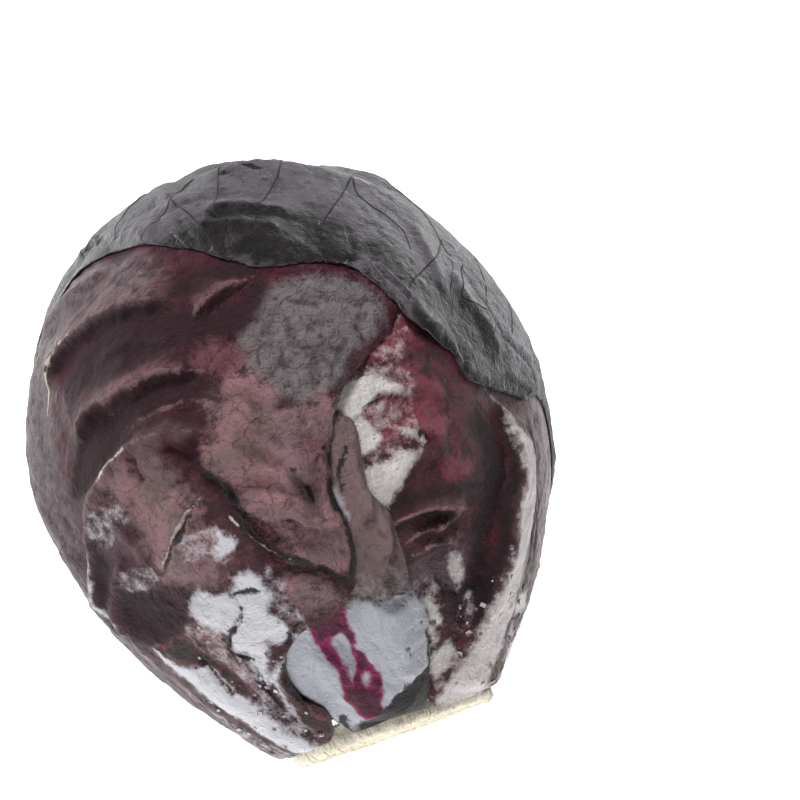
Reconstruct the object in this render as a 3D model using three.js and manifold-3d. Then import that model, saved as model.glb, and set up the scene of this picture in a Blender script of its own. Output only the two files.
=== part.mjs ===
// A head of red cabbage, as cut and trimmed for sale, lying on its side on the back of its
// outermost leaf. Six wrapper leaves grow from a short cut stem and fold over a dense heart.
//
// Units are millimetres and degrees. The head is modelled in a frame of its own: the origin is
// the middle of the head, +Z runs from the cut stem to the crown. A point on the head is named
// like a place on a globe, as [polar, azimuth]: polar is 0 at the stem and 180 at the crown,
// azimuth is 0 on the side that lies uppermost and 90 on the +X side.
import * as THREE from "three";
import { mergeVertices } from "three/addons/utils/BufferGeometryUtils.js";
import Module from "manifold-3d";

const wasm = await Module();
wasm.setup();

// ---- Driving dimensions -------------------------------------------------------------------

const HEAD_RADIUS = 80; // at the widest, half of 160 mm
const STEM_RISE = 21; // how much further than that the rim of the stem's cut lies
const CROWN_RISE = 8; // how much further the crown lies
const CUT_POLAR = 18.5; // where the rim of the cut is
const LEAN = 1.1; // the crown leans this much towards -X

const AXIS_TILT = 20.7; // the crown end lies this many degrees above level
const REST_HEIGHT = 78; // the middle of the head above the surface it lies on

const BLADE = 1.1; // thickness of a leaf's blade
const GAP = 1; // air between one leaf and the next
const LAP_FLAT = 6; // a leaf stays level this far past the edge of the one under it
const LAP_RAMP = 18; // and then comes down over this length
const PRESSED_FROM = 2; // a leaf is pressed flat this far inside the margin of the one over it
const PRESSED_TO = 11; // and has its full ribs this far outside it
const FOLD_WIDTH = 5; // half the width of a fold over a side vein
const MARGIN_LIFT = 1; // a free edge stands up to this far off
const MARGIN_BAND = 9; // and comes down over this width
const THINNEST = 0.8; // the blade where the head's weight rests on it

const STEM_RADIUS = 33; // the trimmed stump
const STUMP_HEIGHT = 7.5; // from the cut to the shoulder that the leaf stalks grow from
const BASE = 20.3; // the polar angle where the stalks leave the stump
const CORE_RADIUS = 12; // the stem inside the heart
const CORE_LENGTH = 62;
const SOCKET_CLEARANCE = 0.5; // between the stem and the heart

const COLOURS = {
  cut: 0xe6ddc0,
  stalk: 0xb9b7c2,
  blade: 0x4a2a3b,
  bloom: 0x6d6570,
};

// How finely the curved forms are divided.
const OUTLINE_STEPS = 40;
const FOLD_STEPS = 12;
const STEM_SIDES = 36;
const HEART_DETAIL = 7;

// ---- Places on the head --------------------------------------------------------------------

const rad = THREE.MathUtils.degToRad;
const smooth = THREE.MathUtils.smoothstep;

const CROWN = new THREE.Vector3(0, 0, 1);
const TOP_SIDE = new THREE.Vector3(0, -1, 0);
const DOWN = new THREE.Vector3(0, Math.cos(rad(AXIS_TILT)), -Math.sin(rad(AXIS_TILT)));

function direction([polar, azimuth]) {
  const [p, a] = [rad(polar), rad(azimuth)];
  return new THREE.Vector3(Math.sin(p) * Math.sin(a), -Math.sin(p) * Math.cos(a), -Math.cos(p));
}

// From the middle of the head to the cut.
const CUT_DEPTH = (HEAD_RADIUS + STEM_RISE) * Math.cos(rad(CUT_POLAR));

function headRadius(d) {
  const polar = THREE.MathUtils.radToDeg(Math.acos(THREE.MathUtils.clamp(-d.z, -1, 1)));
  const stem = Math.max(0, (90 - polar) / (90 - CUT_POLAR)) ** 3;
  const crown = Math.max(0, (polar - 90) / 90) ** 2;
  return HEAD_RADIUS + STEM_RISE * stem + CROWN_RISE * crown - LEAN * d.x * (1 + d.z);
}

// The heart is the head less the leaves that lie on it, most at the waist and fewest at the
// crown and the back. It has a flat end under the stalks and a dent over the flat spot that the
// head rests on.
function heartRadius(d) {
  const waist = 1.6 * smooth(d.dot(CROWN), -0.5, -0.1);
  const crown = 4 * smooth(d.dot(CROWN), 0.5, 0.95);
  const back = 3.2 * smooth(d.dot(DOWN), 0.55, 0.9);
  const leaves = 4.5 + waist - crown - back + 0.6 * d.dot(TOP_SIDE);
  const end = d.z < -0.5 ? (CUT_DEPTH - STUMP_HEIGHT - 1.5) / -d.z : Infinity;
  const dent = d.dot(DOWN) > 0.5 ? (REST_HEIGHT - BLADE - GAP + 0.2) / d.dot(DOWN) : Infinity;
  return Math.min(headRadius(d) - leaves, end, dent);
}

// ---- The leaves ----------------------------------------------------------------------------
// Each leaf is listed from the innermost out. low and high are its two side margins, from the
// stump up, low on the side of the smaller azimuth. rib is its midrib, whose first point is on
// the stump and last on the tip margin. tip runs between the side margins and through the rib's
// end, which is its point number ribEnd. folds are the crests where side veins push the blade
// out. stalk is the height and half width of the rib where it leaves the stump.

const LEAVES = [
  {
    name: "right_back_leaf",
    middle: [85, 104],
    low: [[BASE, 64], [30, 64], [45, 64], [60, 66], [80, 68], [100, 72], [126, 76]],
    high: [[BASE, 114], [30, 121], [45, 130], [70, 140], [100, 144], [126, 146]],
    rib: [[BASE, 89], [32, 91], [50, 95], [76, 101], [104, 106], [128, 109], [145, 110]],
    tip: [[126, 76], [140, 90], [145, 110], [140, 130], [126, 146]],
    ribEnd: 2,
    stalk: { rise: 5.5, half: 13 },
    folds: [],
    rows: 18,
    columns: [6, 6],
    colour: COLOURS.blade,
  },
  {
    name: "right_leaf",
    middle: [85, 50],
    low: [
      [BASE, 14], [24, 13], [32, 14], [38, 10], [48, -4], [62, -18], [80, -28], [104, -33],
      [128, -30],
    ],
    high: [[BASE, 60], [28, 67], [40, 78], [56, 89], [76, 96], [100, 101], [124, 104]],
    rib: [
      [BASE, 37], [30, 41], [42, 46], [60, 52], [80, 57], [104, 62], [128, 60], [146, 48],
    ],
    tip: [[128, -30], [140, -8], [146, 18], [146, 48], [142, 76], [124, 104]],
    ribEnd: 3,
    stalk: { rise: 5.5, half: 12 },
    folds: [
      { at: [[50, 4], [52, 14], [51, 24], [54, 34]], rise: 1.6 },
      { at: [[58, 6], [60, 17], [59, 25], [56, 38]], rise: 2.2 },
      { at: [[65, 3], [66, 14], [65, 25], [68, 42]], rise: 2.0 },
      { at: [[76, 2], [81, 14], [81, 27], [76, 44]], rise: 2.2 },
      { at: [[90, 8], [93, 20], [95, 32], [92, 48]], rise: 1.6 },
    ],
    rows: 28,
    columns: [9, 8],
    colour: COLOURS.blade,
  },
  {
    name: "front_leaf",
    middle: [80, -30],
    low: [[BASE, -32], [27, -36], [36, -44], [50, -58], [72, -70], [98, -76], [124, -74]],
    high: [
      [BASE, 11], [25, 13], [32, 13], [38, 14], [44, 10], [52, 9], [60, 8], [68, 4], [76, 5],
      [82, 6], [87, 1], [98, -3], [124, -4],
    ],
    rib: [
      [BASE, -9], [30, -6], [40, -5], [54, -10], [74, -20], [98, -30], [122, -36], [138, -38],
    ],
    tip: [[124, -74], [134, -58], [138, -38], [136, -20], [124, -4]],
    ribEnd: 2,
    stalk: { rise: 5.5, half: 13 },
    folds: [],
    rows: 26,
    columns: [7, 8],
    colour: COLOURS.stalk,
  },
  {
    name: "left_back_leaf",
    middle: [85, -122],
    low: [[BASE, -158], [30, -158], [44, -157], [70, -152], [100, -149], [128, -150]],
    high: [[BASE, -104], [30, -97], [44, -90], [70, -86], [100, -86], [128, -92]],
    rib: [
      [BASE, -131], [32, -130], [50, -127], [76, -123], [104, -121], [128, -121], [145, -122],
    ],
    tip: [[128, -150], [140, -138], [145, -122], [140, -104], [128, -92]],
    ribEnd: 2,
    stalk: { rise: 5.5, half: 13 },
    folds: [],
    rows: 18,
    columns: [6, 6],
    colour: COLOURS.blade,
  },
  {
    name: "left_leaf",
    middle: [88, -55],
    low: [[BASE, -88], [28, -94], [40, -104], [58, -116], [80, -124], [104, -128], [130, -128]],
    high: [
      [BASE, -40], [26, -33], [31, -37], [36, -36], [41, -30], [44, -22], [45.5, -12], [50, -6],
      [58, -3], [66, -4], [74, -3], [80, 0], [86, 3], [91, 8], [96, 16], [102, 25], [114, 34],
      [130, 38],
    ],
    rib: [
      [BASE, -64], [32, -66], [45, -68], [60, -73], [78, -80], [98, -85], [120, -88],
      [142, -84], [156, -62],
    ],
    tip: [[130, -128], [146, -106], [156, -62], [154, -22], [144, 14], [130, 38]],
    ribEnd: 2,
    stalk: { rise: 5.5, half: 14 },
    folds: [
      { at: [[107, -74], [120, -66], [124, -50], [121, -32], [116, -18]], rise: 2.6 },
      { at: [[96, -70], [103, -52], [105, -36], [101, -20], [104, -6]], rise: 2.4 },
      { at: [[90, -50], [97, -38], [98, -28], [92, -18], [90, -6]], rise: 1.8 },
      { at: [[80, -62], [88, -54], [93, -42], [93, -30], [88, -22]], rise: 2.4 },
      { at: [[60, -72], [66, -68], [72, -57], [82, -48], [90, -38]], rise: 1.6 },
      { at: [[62, -50], [69, -45], [74, -38], [79, -27], [70, -20], [64, -9]], rise: 2.2 },
    ],
    rows: 36,
    columns: [6, 15],
    colour: COLOURS.blade,
  },
  {
    name: "crown_leaf",
    middle: [128, 160],
    low: [
      [BASE, 124], [30, 114], [45, 103], [56, 92], [64, 83], [72, 79], [77, 74], [79, 66],
      [78, 58], [80, 51], [82, 43], [85, 37], [90, 36], [94, 32], [99, 27], [107, 24],
      [116, 21],
    ],
    high: [
      [BASE, 178], [30, 190], [45, 206], [60, 220], [76, 236], [96, 253], [116, 266],
      [134, 275], [146, 281],
    ],
    rib: [
      [BASE, 151], [32, 150], [50, 150], [75, 152], [105, 155], [135, 160], [160, 172],
      [170, 300], [150, 338], [126, 349],
    ],
    tip: [
      [116, 21], [118, 14], [119, 3], [121, -4], [126, -11], [132, -20], [138, -36], [144, -54],
      [148, -66], [146, -79],
    ],
    ribEnd: 4,
    stalk: { rise: 6, half: 14 },
    folds: [
      { at: [[156, -14], [148, 24], [136, 42], [116, 42]], rise: 1.4 },
      { at: [[166, -60], [168, 60], [154, 78], [130, 70]], rise: 1.2 },
      { at: [[140, 120], [122, 96], [100, 74]], rise: 1.4 },
      { at: [[116, 140], [98, 118], [82, 98]], rise: 1.6 },
      { at: [[90, 142], [74, 128], [60, 112]], rise: 1.6 },
      { at: [[158, -140], [140, -120], [122, -108]], rise: 1.4 },
      { at: [[130, 176], [112, -160], [98, -134]], rise: 1.6 },
    ],
    rows: 38,
    columns: [13, 13],
    colour: COLOURS.bloom,
  },
];

// A leaf is laid out on a flat map: x across and y along it, in millimetres over the head from
// the leaf's middle, true to scale along every line through that middle.
function leafMap(leaf) {
  const centre = direction(leaf.middle);
  const along = CROWN.clone().addScaledVector(centre, -centre.z).normalize();
  const across = new THREE.Vector3().crossVectors(along, centre);
  return {
    flat(d) {
      const angle = Math.acos(THREE.MathUtils.clamp(d.dot(centre), -1, 1));
      const [x, y] = [d.dot(across), d.dot(along)];
      const scale = (angle * HEAD_RADIUS) / Math.max(Math.hypot(x, y), 1e-9);
      return new THREE.Vector2(x * scale, y * scale);
    },
    round(p) {
      const length = Math.max(p.length(), 1e-9);
      const angle = length / HEAD_RADIUS;
      return centre
        .clone()
        .multiplyScalar(Math.cos(angle))
        .addScaledVector(across, (Math.sin(angle) * p.x) / length)
        .addScaledVector(along, (Math.sin(angle) * p.y) / length);
    },
  };
}

// Evenly spaced points on the smooth line through places on the head, on the leaf's map.
function line(map, places, steps) {
  const curve = new THREE.CatmullRomCurve3(places.map(direction), false, "catmullrom", 0.5);
  return curve.getSpacedPoints(steps).map((p) => map.flat(p.normalize()));
}

function prepare(leaf) {
  leaf.map = leafMap(leaf);
  leaf.tipLow = leaf.tip.slice(0, leaf.ribEnd + 1);
  leaf.tipHigh = leaf.tip.slice(leaf.ribEnd);
  leaf.ribLine = line(leaf.map, leaf.rib, OUTLINE_STEPS);
  leaf.outline = [
    ...line(leaf.map, leaf.low, OUTLINE_STEPS),
    ...line(leaf.map, leaf.tip, OUTLINE_STEPS),
    ...line(leaf.map, leaf.high, OUTLINE_STEPS).reverse(),
  ];
  leaf.foldLines = leaf.folds.map((f) => ({ ...f, path: line(leaf.map, f.at, FOLD_STEPS) }));
  return leaf;
}

// The nearest point of an open path: its distance from p, and its place on the path, 0 to 1.
function nearest(path, p) {
  let best = { distance: Infinity, share: 0 };
  for (let i = 0; i + 1 < path.length; i++) {
    const [a, b] = [path[i], path[i + 1]];
    const [ex, ey] = [b.x - a.x, b.y - a.y];
    const along = ((p.x - a.x) * ex + (p.y - a.y) * ey) / (ex * ex + ey * ey || 1);
    const t = THREE.MathUtils.clamp(along, 0, 1);
    const distance = Math.hypot(p.x - a.x - ex * t, p.y - a.y - ey * t);
    if (distance < best.distance) best = { distance, share: (i + t) / (path.length - 1) };
  }
  return best;
}

// Millimetres from the leaf's margin, positive inside the leaf. The end on the stump is no margin.
function insideBy(leaf, p) {
  let inside = false;
  const ring = leaf.outline;
  for (let i = 0, j = ring.length - 1; i < ring.length; j = i++) {
    if (ring[i].y > p.y === ring[j].y > p.y) continue;
    const share = (p.y - ring[i].y) / (ring[j].y - ring[i].y);
    if (p.x < ring[i].x + (ring[j].x - ring[i].x) * share) inside = !inside;
  }
  const { distance } = nearest(ring, p);
  return inside ? distance : -distance;
}

// 1 where d lies on the leaf or just beside it, falling to 0 further out.
function cover(leaf, d) {
  return smooth(insideBy(leaf, leaf.map.flat(d)), -LAP_FLAT - LAP_RAMP, -LAP_FLAT);
}

// 1 where the leaf lies open, 0 where outer leaves lie over it and press it flat.
function open(leaf, d) {
  let share = 1;
  for (const outer of LEAVES.slice(LEAVES.indexOf(leaf) + 1))
    share *= 1 - smooth(insideBy(outer, outer.map.flat(d)), -PRESSED_TO, -PRESSED_FROM);
  return share;
}

// How thick the leaf is at d: its blade, its midrib and the folds over its side veins.
function thickness(leaf, d) {
  const p = leaf.map.flat(d);
  const rib = nearest(leaf.ribLine, p);
  const taper = (1 - rib.share) ** 2;
  const half = 3 + (leaf.stalk.half - 3) * taper;
  const rise = 0.5 + (leaf.stalk.rise - 0.5) * taper ** 2;
  let bump = rise * Math.exp(-((rib.distance / half) ** 4));
  for (const fold of leaf.foldLines) {
    const near = nearest(fold.path, p);
    const ends = smooth(near.share, 0, 0.2) * (1 - smooth(near.share, 0.8, 1));
    bump += fold.rise * (0.3 + 0.7 * ends) * Math.exp(-((near.distance / FOLD_WIDTH) ** 2));
  }
  return BLADE + bump * open(leaf, d);
}

// Where the leaf's inner face lies: on the heart and on every leaf inside it.
function innerRadius(leaf, d) {
  let radius = heartRadius(d) + GAP;
  for (const under of LEAVES.slice(0, LEAVES.indexOf(leaf)))
    radius += cover(under, d) * (thickness(under, d) + GAP);
  return radius;
}

// How far a free margin stands off: a gentle wave round the edge, nothing near the stump.
function lift(leaf, p, d) {
  const edge = 1 - smooth(nearest(leaf.outline, p).distance, 0, MARGIN_BAND);
  const wave = 0.5 + 0.5 * Math.sin(p.x * 0.13) * Math.cos(p.y * 0.11);
  const clearOfStem = 1 - smooth(-d.z, 0.4, 0.8);
  return MARGIN_LIFT * edge * wave * clearOfStem * open(leaf, d);
}

// One half of the leaf between the midrib and a margin, as rows of points on its map.
function halfGrid(leaf, side, tipLine, towardsHigh) {
  const n = leaf.rows;
  const count = leaf.columns[towardsHigh ? 1 : 0];
  const columns = Array.from({ length: count + 1 }, (_, i) => (i / count) ** 1.3);
  const rib = line(leaf.map, leaf.rib, n);
  const margin = line(leaf.map, side, n);
  const base = [rib[0], margin[0]];
  const tipPoints = line(leaf.map, tipLine, OUTLINE_STEPS);
  const tipAt = (share) => {
    const at = (towardsHigh ? share : 1 - share) * OUTLINE_STEPS;
    const i = Math.min(Math.floor(at), OUTLINE_STEPS - 1);
    return tipPoints[i].clone().lerp(tipPoints[i + 1], at - i);
  };
  return rib.map((ribPoint, row) => {
    const v = row / n;
    return columns.map((u) => {
      const across = ribPoint.clone().lerp(margin[row], u);
      const straight = rib[0].clone().lerp(margin[0], u).lerp(rib[n].clone().lerp(margin[n], u), v);
      const up = base[0].clone().lerp(base[1], u).lerp(tipAt(u), v);
      return across.add(up).sub(straight);
    });
  });
}

function leafGeometry(leaf) {
  const low = halfGrid(leaf, leaf.low, leaf.tipLow, false);
  const high = halfGrid(leaf, leaf.high, leaf.tipHigh, true);
  const rows = low.map((half, i) => [...half.slice(1).reverse(), ...high[i]]);
  const [nv, nu] = [rows.length, rows[0].length];
  const [outer, inner] = [[], []];
  for (const row of rows)
    for (const p of row) {
      const d = leaf.map.round(p);
      const floor = REST_HEIGHT / Math.max(d.dot(DOWN), 1e-3);
      const bottom = innerRadius(leaf, d) + lift(leaf, p, d);
      const top = Math.min(bottom + thickness(leaf, d), floor);
      outer.push(...d.clone().multiplyScalar(top));
      inner.push(...d.clone().multiplyScalar(Math.min(bottom, floor - THINNEST)));
    }
  const faces = [];
  const below = nv * nu; // the inner face's points follow the outer's
  const quad = (a, b, c, e) => faces.push(a, b, c, a, c, e);
  for (let v = 0; v + 1 < nv; v++)
    for (let u = 0; u + 1 < nu; u++) {
      const [a, b, c, e] = [v * nu + u, v * nu + u + 1, (v + 1) * nu + u + 1, (v + 1) * nu + u];
      quad(a, b, c, e);
      faces.push(below + a, below + c, below + b, below + a, below + e, below + c);
    }
  for (let v = 0; v + 1 < nv; v++) {
    quad(v * nu, (v + 1) * nu, below + (v + 1) * nu, below + v * nu);
    const end = v * nu + nu - 1;
    quad(end + nu, end, below + end, below + end + nu);
  }
  for (let u = 0; u + 1 < nu; u++) {
    quad(u + 1, u, below + u, below + u + 1);
    const end = (nv - 1) * nu + u;
    quad(end, end + 1, below + end + 1, below + end);
  }
  return new THREE.BufferGeometry()
    .setAttribute("position", new THREE.Float32BufferAttribute([...outer, ...inner], 3))
    .setIndex(faces);
}

// ---- Stem and heart ------------------------------------------------------------------------

// The stem's section, radius against height above the cut, grown by extra all round.
function stemGeometry(extra) {
  const shoulder = STUMP_HEIGHT + extra;
  const profile = [
    [0, -extra],
    [STEM_RADIUS - 1.6, -extra],
    [STEM_RADIUS + extra, 2],
    [STEM_RADIUS - 0.6 + extra, 4.8],
    [STEM_RADIUS - 2 + extra, shoulder],
    [CORE_RADIUS + 5 + extra, shoulder + 0.5],
    [CORE_RADIUS + extra, shoulder + 7],
    [CORE_RADIUS - 3 + extra, CORE_LENGTH - 5],
    [CORE_RADIUS - 7 + extra, CORE_LENGTH + extra],
    [0, CORE_LENGTH + extra],
  ].map(([r, h]) => new THREE.Vector2(r, h));
  const geometry = new THREE.LatheGeometry(profile, STEM_SIDES);
  return geometry.rotateX(Math.PI / 2).translate(0, 0, -CUT_DEPTH); // the lathe turns about Y
}

function heartGeometry() {
  const geometry = new THREE.IcosahedronGeometry(1, HEART_DETAIL);
  const at = geometry.getAttribute("position");
  for (let i = 0; i < at.count; i++) {
    const d = new THREE.Vector3().fromBufferAttribute(at, i).normalize();
    const clear = 0.3 + 1.6 * smooth(-d.z, 0.6, 0.85); // more at the corner of the flat end
    at.setXYZ(i, ...d.clone().multiplyScalar(heartRadius(d) - clear));
  }
  return geometry;
}

function toSolid(geometry) {
  const bare = geometry.clone();
  bare.deleteAttribute("normal");
  bare.deleteAttribute("uv");
  const merged = mergeVertices(bare, 1e-3);
  return new wasm.Manifold(
    new wasm.Mesh({
      numProp: 3,
      vertProperties: new Float32Array(merged.attributes.position.array),
      triVerts: new Uint32Array(merged.index.array),
    }),
  );
}

function toGeometry(solid) {
  const mesh = solid.getMesh();
  return new THREE.BufferGeometry()
    .setAttribute("position", new THREE.BufferAttribute(mesh.vertProperties, 3))
    .setIndex(new THREE.BufferAttribute(mesh.triVerts, 1));
}

// ---- The head ------------------------------------------------------------------------------

function piece(name, geometry, colour) {
  geometry.computeVertexNormals();
  const material = new THREE.MeshStandardMaterial({ color: colour, roughness: 0.5, metalness: 0 });
  const mesh = new THREE.Mesh(geometry, material);
  mesh.name = name;
  return mesh;
}

LEAVES.forEach(prepare);

const head = new THREE.Group();
head.add(piece("cut_stem", stemGeometry(0), COLOURS.cut));
const socket = toSolid(stemGeometry(SOCKET_CLEARANCE));
head.add(piece("heart", toGeometry(toSolid(heartGeometry()).subtract(socket)), COLOURS.blade));
for (const leaf of LEAVES) head.add(piece(leaf.name, leafGeometry(leaf), leaf.colour));
head.rotation.x = -rad(90 - AXIS_TILT);
head.position.z = REST_HEIGHT;

const cabbage = new THREE.Group();
cabbage.add(head);
export default cabbage;
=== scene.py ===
# %% [markdown]
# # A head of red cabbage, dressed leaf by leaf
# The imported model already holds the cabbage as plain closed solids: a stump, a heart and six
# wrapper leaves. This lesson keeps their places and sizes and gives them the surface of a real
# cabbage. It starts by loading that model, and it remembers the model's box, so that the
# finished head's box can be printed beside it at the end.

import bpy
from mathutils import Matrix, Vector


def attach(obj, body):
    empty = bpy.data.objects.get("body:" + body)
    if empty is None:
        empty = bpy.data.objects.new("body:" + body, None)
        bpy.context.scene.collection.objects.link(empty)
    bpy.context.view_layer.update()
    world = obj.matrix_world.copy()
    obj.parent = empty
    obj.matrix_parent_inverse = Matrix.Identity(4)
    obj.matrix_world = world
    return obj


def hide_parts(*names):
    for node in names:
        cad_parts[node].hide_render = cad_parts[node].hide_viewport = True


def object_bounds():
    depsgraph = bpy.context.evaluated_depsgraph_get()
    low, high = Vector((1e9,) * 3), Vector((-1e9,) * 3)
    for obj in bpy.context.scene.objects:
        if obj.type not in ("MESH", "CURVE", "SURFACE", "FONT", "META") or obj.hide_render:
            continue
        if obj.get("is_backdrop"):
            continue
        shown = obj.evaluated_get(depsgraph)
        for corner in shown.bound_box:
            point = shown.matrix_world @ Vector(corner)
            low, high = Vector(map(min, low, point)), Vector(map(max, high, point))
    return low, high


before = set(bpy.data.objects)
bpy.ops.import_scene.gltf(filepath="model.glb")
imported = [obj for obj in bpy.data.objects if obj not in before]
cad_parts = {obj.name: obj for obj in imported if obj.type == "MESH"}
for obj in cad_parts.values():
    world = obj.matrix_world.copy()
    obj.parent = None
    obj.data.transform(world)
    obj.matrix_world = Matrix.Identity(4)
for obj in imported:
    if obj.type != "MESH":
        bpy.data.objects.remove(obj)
cad_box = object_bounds()
print("CAD box:", [[round(value, 4) for value in corner] for corner in cad_box])

# %% [markdown]
# ## Places on the head
# A cabbage grows round one line from its cut stem to its crown, so a place on it is easiest to
# name as on a globe. Polar is 0 at the stem and 180 at the crown. Azimuth is 0 on the side that
# lies uppermost and 90 on the right. All work is in millimetres about the middle of the head
# until the last step, which lays the head down on its side.

# %% Places on the head
import math

import bpy
import numpy as np
from mathutils import Vector, noise

HEAD_RADIUS = 80.0
STEM_RISE = 21.0
CROWN_RISE = 8.0
CUT_POLAR = 18.5
LEAN = 1.1
AXIS_TILT = 20.7
REST_HEIGHT = 78.0
CUT_DEPTH = (HEAD_RADIUS + STEM_RISE) * math.cos(math.radians(CUT_POLAR))
TOP_SIDE = np.array([0.0, -1.0, 0.0])
DOWN = np.array([0.0, math.cos(math.radians(AXIS_TILT)), -math.sin(math.radians(AXIS_TILT))])


def smooth(x, low, high):
    """0 below low, 1 above high, and an S-shaped step between them."""
    t = np.clip((x - low) / (high - low), 0, 1)
    return t * t * (3 - 2 * t)


def directions(places):
    """Unit vectors from the middle of the head to [polar, azimuth] places."""
    polar, azimuth = np.radians(np.asarray(places, float)).T
    across = np.sin(polar)
    return np.stack([across * np.sin(azimuth), -across * np.cos(azimuth), -np.cos(polar)], axis=-1)


def laid_down(points):
    """Millimetres about the upright head's middle, as metres with the head lying on its side."""
    turn = math.radians(90 - AXIS_TILT)
    x, y, z = np.asarray(points, float).T
    lying = [x, y * math.cos(turn) + z * math.sin(turn), z * math.cos(turn) - y * math.sin(turn)]
    return np.stack([lying[0], lying[1], lying[2] + REST_HEIGHT], axis=-1) / 1000


print("stem end and crown, in metres:", laid_down([[0, 0, -CUT_DEPTH], [0, 0, 88]]).round(4).tolist())

# %% [markdown]
# ## The form that the leaves lie on
# Leaves could be laid on a sphere, but a cabbage is drawn out towards the stem, rounded at the
# crown and a little flat where it rests. Two functions give the head's outer radius and the
# heart's radius in any direction. They are the same as in the solids, so that every dressed
# piece stays where its solid is.

# %% The heart's radius
STUMP_HEIGHT = 7.5
BLADE = 1.1
GAP = 1.0


def head_radius(d):
    """How far the head reaches in the directions d, with no folds on it."""
    polar = np.degrees(np.arccos(np.clip(-d[..., 2], -1, 1)))
    stem = np.clip((90 - polar) / (90 - CUT_POLAR), 0, None) ** 3
    crown = np.clip((polar - 90) / 90, 0, None) ** 2
    lean = LEAN * d[..., 0] * (1 + d[..., 2])
    return HEAD_RADIUS + STEM_RISE * stem + CROWN_RISE * crown - lean


def heart_radius(d):
    """How far the heart reaches: thicker layers of leaves lie over it at its sides."""
    up = d[..., 2]
    down = d @ DOWN
    leaves = 4.5 + 1.6 * smooth(up, -0.5, -0.1) - 4 * smooth(up, 0.5, 0.95)
    leaves = leaves - 3.2 * smooth(down, 0.55, 0.9) + 0.6 * (d @ TOP_SIDE)
    radius = head_radius(d) - leaves
    end = (CUT_DEPTH - STUMP_HEIGHT - 1.5) / np.maximum(-up, 0.5)
    radius = np.where(up < -0.5, np.minimum(radius, end), radius)
    dent = (REST_HEIGHT - BLADE - GAP + 0.2) / np.maximum(down, 0.5)
    return np.where(down > 0.5, np.minimum(radius, dent), radius)


print("heart, mm from the middle:", heart_radius(directions([[90, 0], [90, 180], [180, 0]])).round(1))

# %% [markdown]
# ## Lines on the head
# Margins, ribs, folds and cracks are all lines that run over the head. Each is named by a few
# places, and a smooth curve is drawn through them. The distance from a line, and the share of
# the way along it, are what every fold and every patch of colour is built from later.

# %% Curves and distances


def curve(corners, steps):
    """Evenly spaced points on the smooth curve through the corners."""
    ends = np.vstack([2 * corners[0] - corners[1], corners, 2 * corners[-1] - corners[-2]])
    t = np.linspace(0, 1, 24, endpoint=False)[:, None]
    parts = []
    for a, b, c, d in zip(ends, ends[1:], ends[2:], ends[3:]):
        bend = (c - a) * t + (2 * a - 5 * b + 4 * c - d) * t**2 + (3 * b - a - 3 * c + d) * t**3
        parts.append(b + bend / 2)
    points = np.vstack([*parts, corners[-1:]])
    far = np.append(0, np.cumsum(np.linalg.norm(np.diff(points, axis=0), axis=1)))
    at = np.linspace(0, far[-1], steps + 1)
    return np.stack([np.interp(at, far, column) for column in points.T], axis=1)


def nearest(path, points):
    """Distance of each point from the path, share of the way along it, and side of it."""
    start, step = path[:-1], np.diff(path, axis=0)
    length = np.maximum((step**2).sum(1), 1e-12)
    found = []
    for first in range(0, len(points), 8000):
        off = points[first : first + 8000, None] - start
        t = np.clip((off * step).sum(2) / length, 0, 1)
        far = ((off - t[..., None] * step) ** 2).sum(2)
        rows, k = np.arange(len(off)), far.argmin(1)
        side = np.sign(step[k, 0] * off[rows, k, 1] - step[k, 1] * off[rows, k, 0])
        found.append([np.sqrt(far[rows, k]), (k + t[rows, k]) / len(step), side])
    return [np.concatenate(values) for values in zip(*found)]


def inside_by(ring, points):
    """Millimetres from the ring, positive inside it."""
    x, y = points.T
    inside = np.zeros(len(points), bool)
    for (ax, ay), (bx, by) in zip(ring, np.roll(ring, 1, axis=0)):
        if ay != by:
            inside ^= ((ay > y) != (by > y)) & (x < ax + (bx - ax) * (y - ay) / (by - ay))
    return np.where(inside, 1, -1) * nearest(ring, points)[0]


print("a quarter turn of a margin, mm:", round(math.pi / 2 * HEAD_RADIUS, 1))

# %% [markdown]
# ## The six wrapper leaves
# Every leaf is laid out on a flat map of its own, like a country in an atlas: x across and y
# along it, true to scale from its middle. Low and high are its two side margins from the stump
# up, rib is its midrib, and tip closes the top from one margin to the other. The leaves are
# listed from the innermost out, because each lies on the ones before it.

# %% Leaf outlines
OUTLINE_STEPS = 40
BASE = 20.3  # polar place where the foot of a leaf meets the stump's rim
RIGHT_FOOT = 19.4  # the same for the right leaf, which reaches a little lower


class Leaf:
    """A leaf's lines, on a flat map round its middle; flat() and round() go there and back."""

    def __init__(self, name, middle, low, high, rib, tip, rib_end, stalk):
        self.name, self.low, self.high, self.rib, self.tip = name, low, high, rib, tip
        self.rib_end, self.stalk = rib_end, stalk
        self.centre = directions([middle])[0]
        along = np.array([0, 0, 1]) - self.centre * self.centre[2]
        self.along = along / np.linalg.norm(along)
        self.across = np.cross(self.along, self.centre)
        self.rib_line = self.line(rib, OUTLINE_STEPS)
        sides = [self.line(places, OUTLINE_STEPS) for places in (low, tip, high)]
        self.outline = np.vstack([sides[0], sides[1], sides[2][::-1]])

    def flat(self, d):
        angle = np.arccos(np.clip(d @ self.centre, -1, 1))
        flat = np.stack([d @ self.across, d @ self.along], axis=-1)
        return flat * (angle * HEAD_RADIUS / np.maximum(np.linalg.norm(flat, axis=-1), 1e-9))[..., None]

    def round(self, p):
        length = np.maximum(np.linalg.norm(p, axis=-1, keepdims=True), 1e-9)
        sideways = (p[..., :1] * self.across + p[..., 1:] * self.along) / length
        return np.cos(length / HEAD_RADIUS) * self.centre + np.sin(length / HEAD_RADIUS) * sideways

    def line(self, places, steps):
        d = curve(directions(places), steps)
        return self.flat(d / np.linalg.norm(d, axis=1, keepdims=True))


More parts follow.
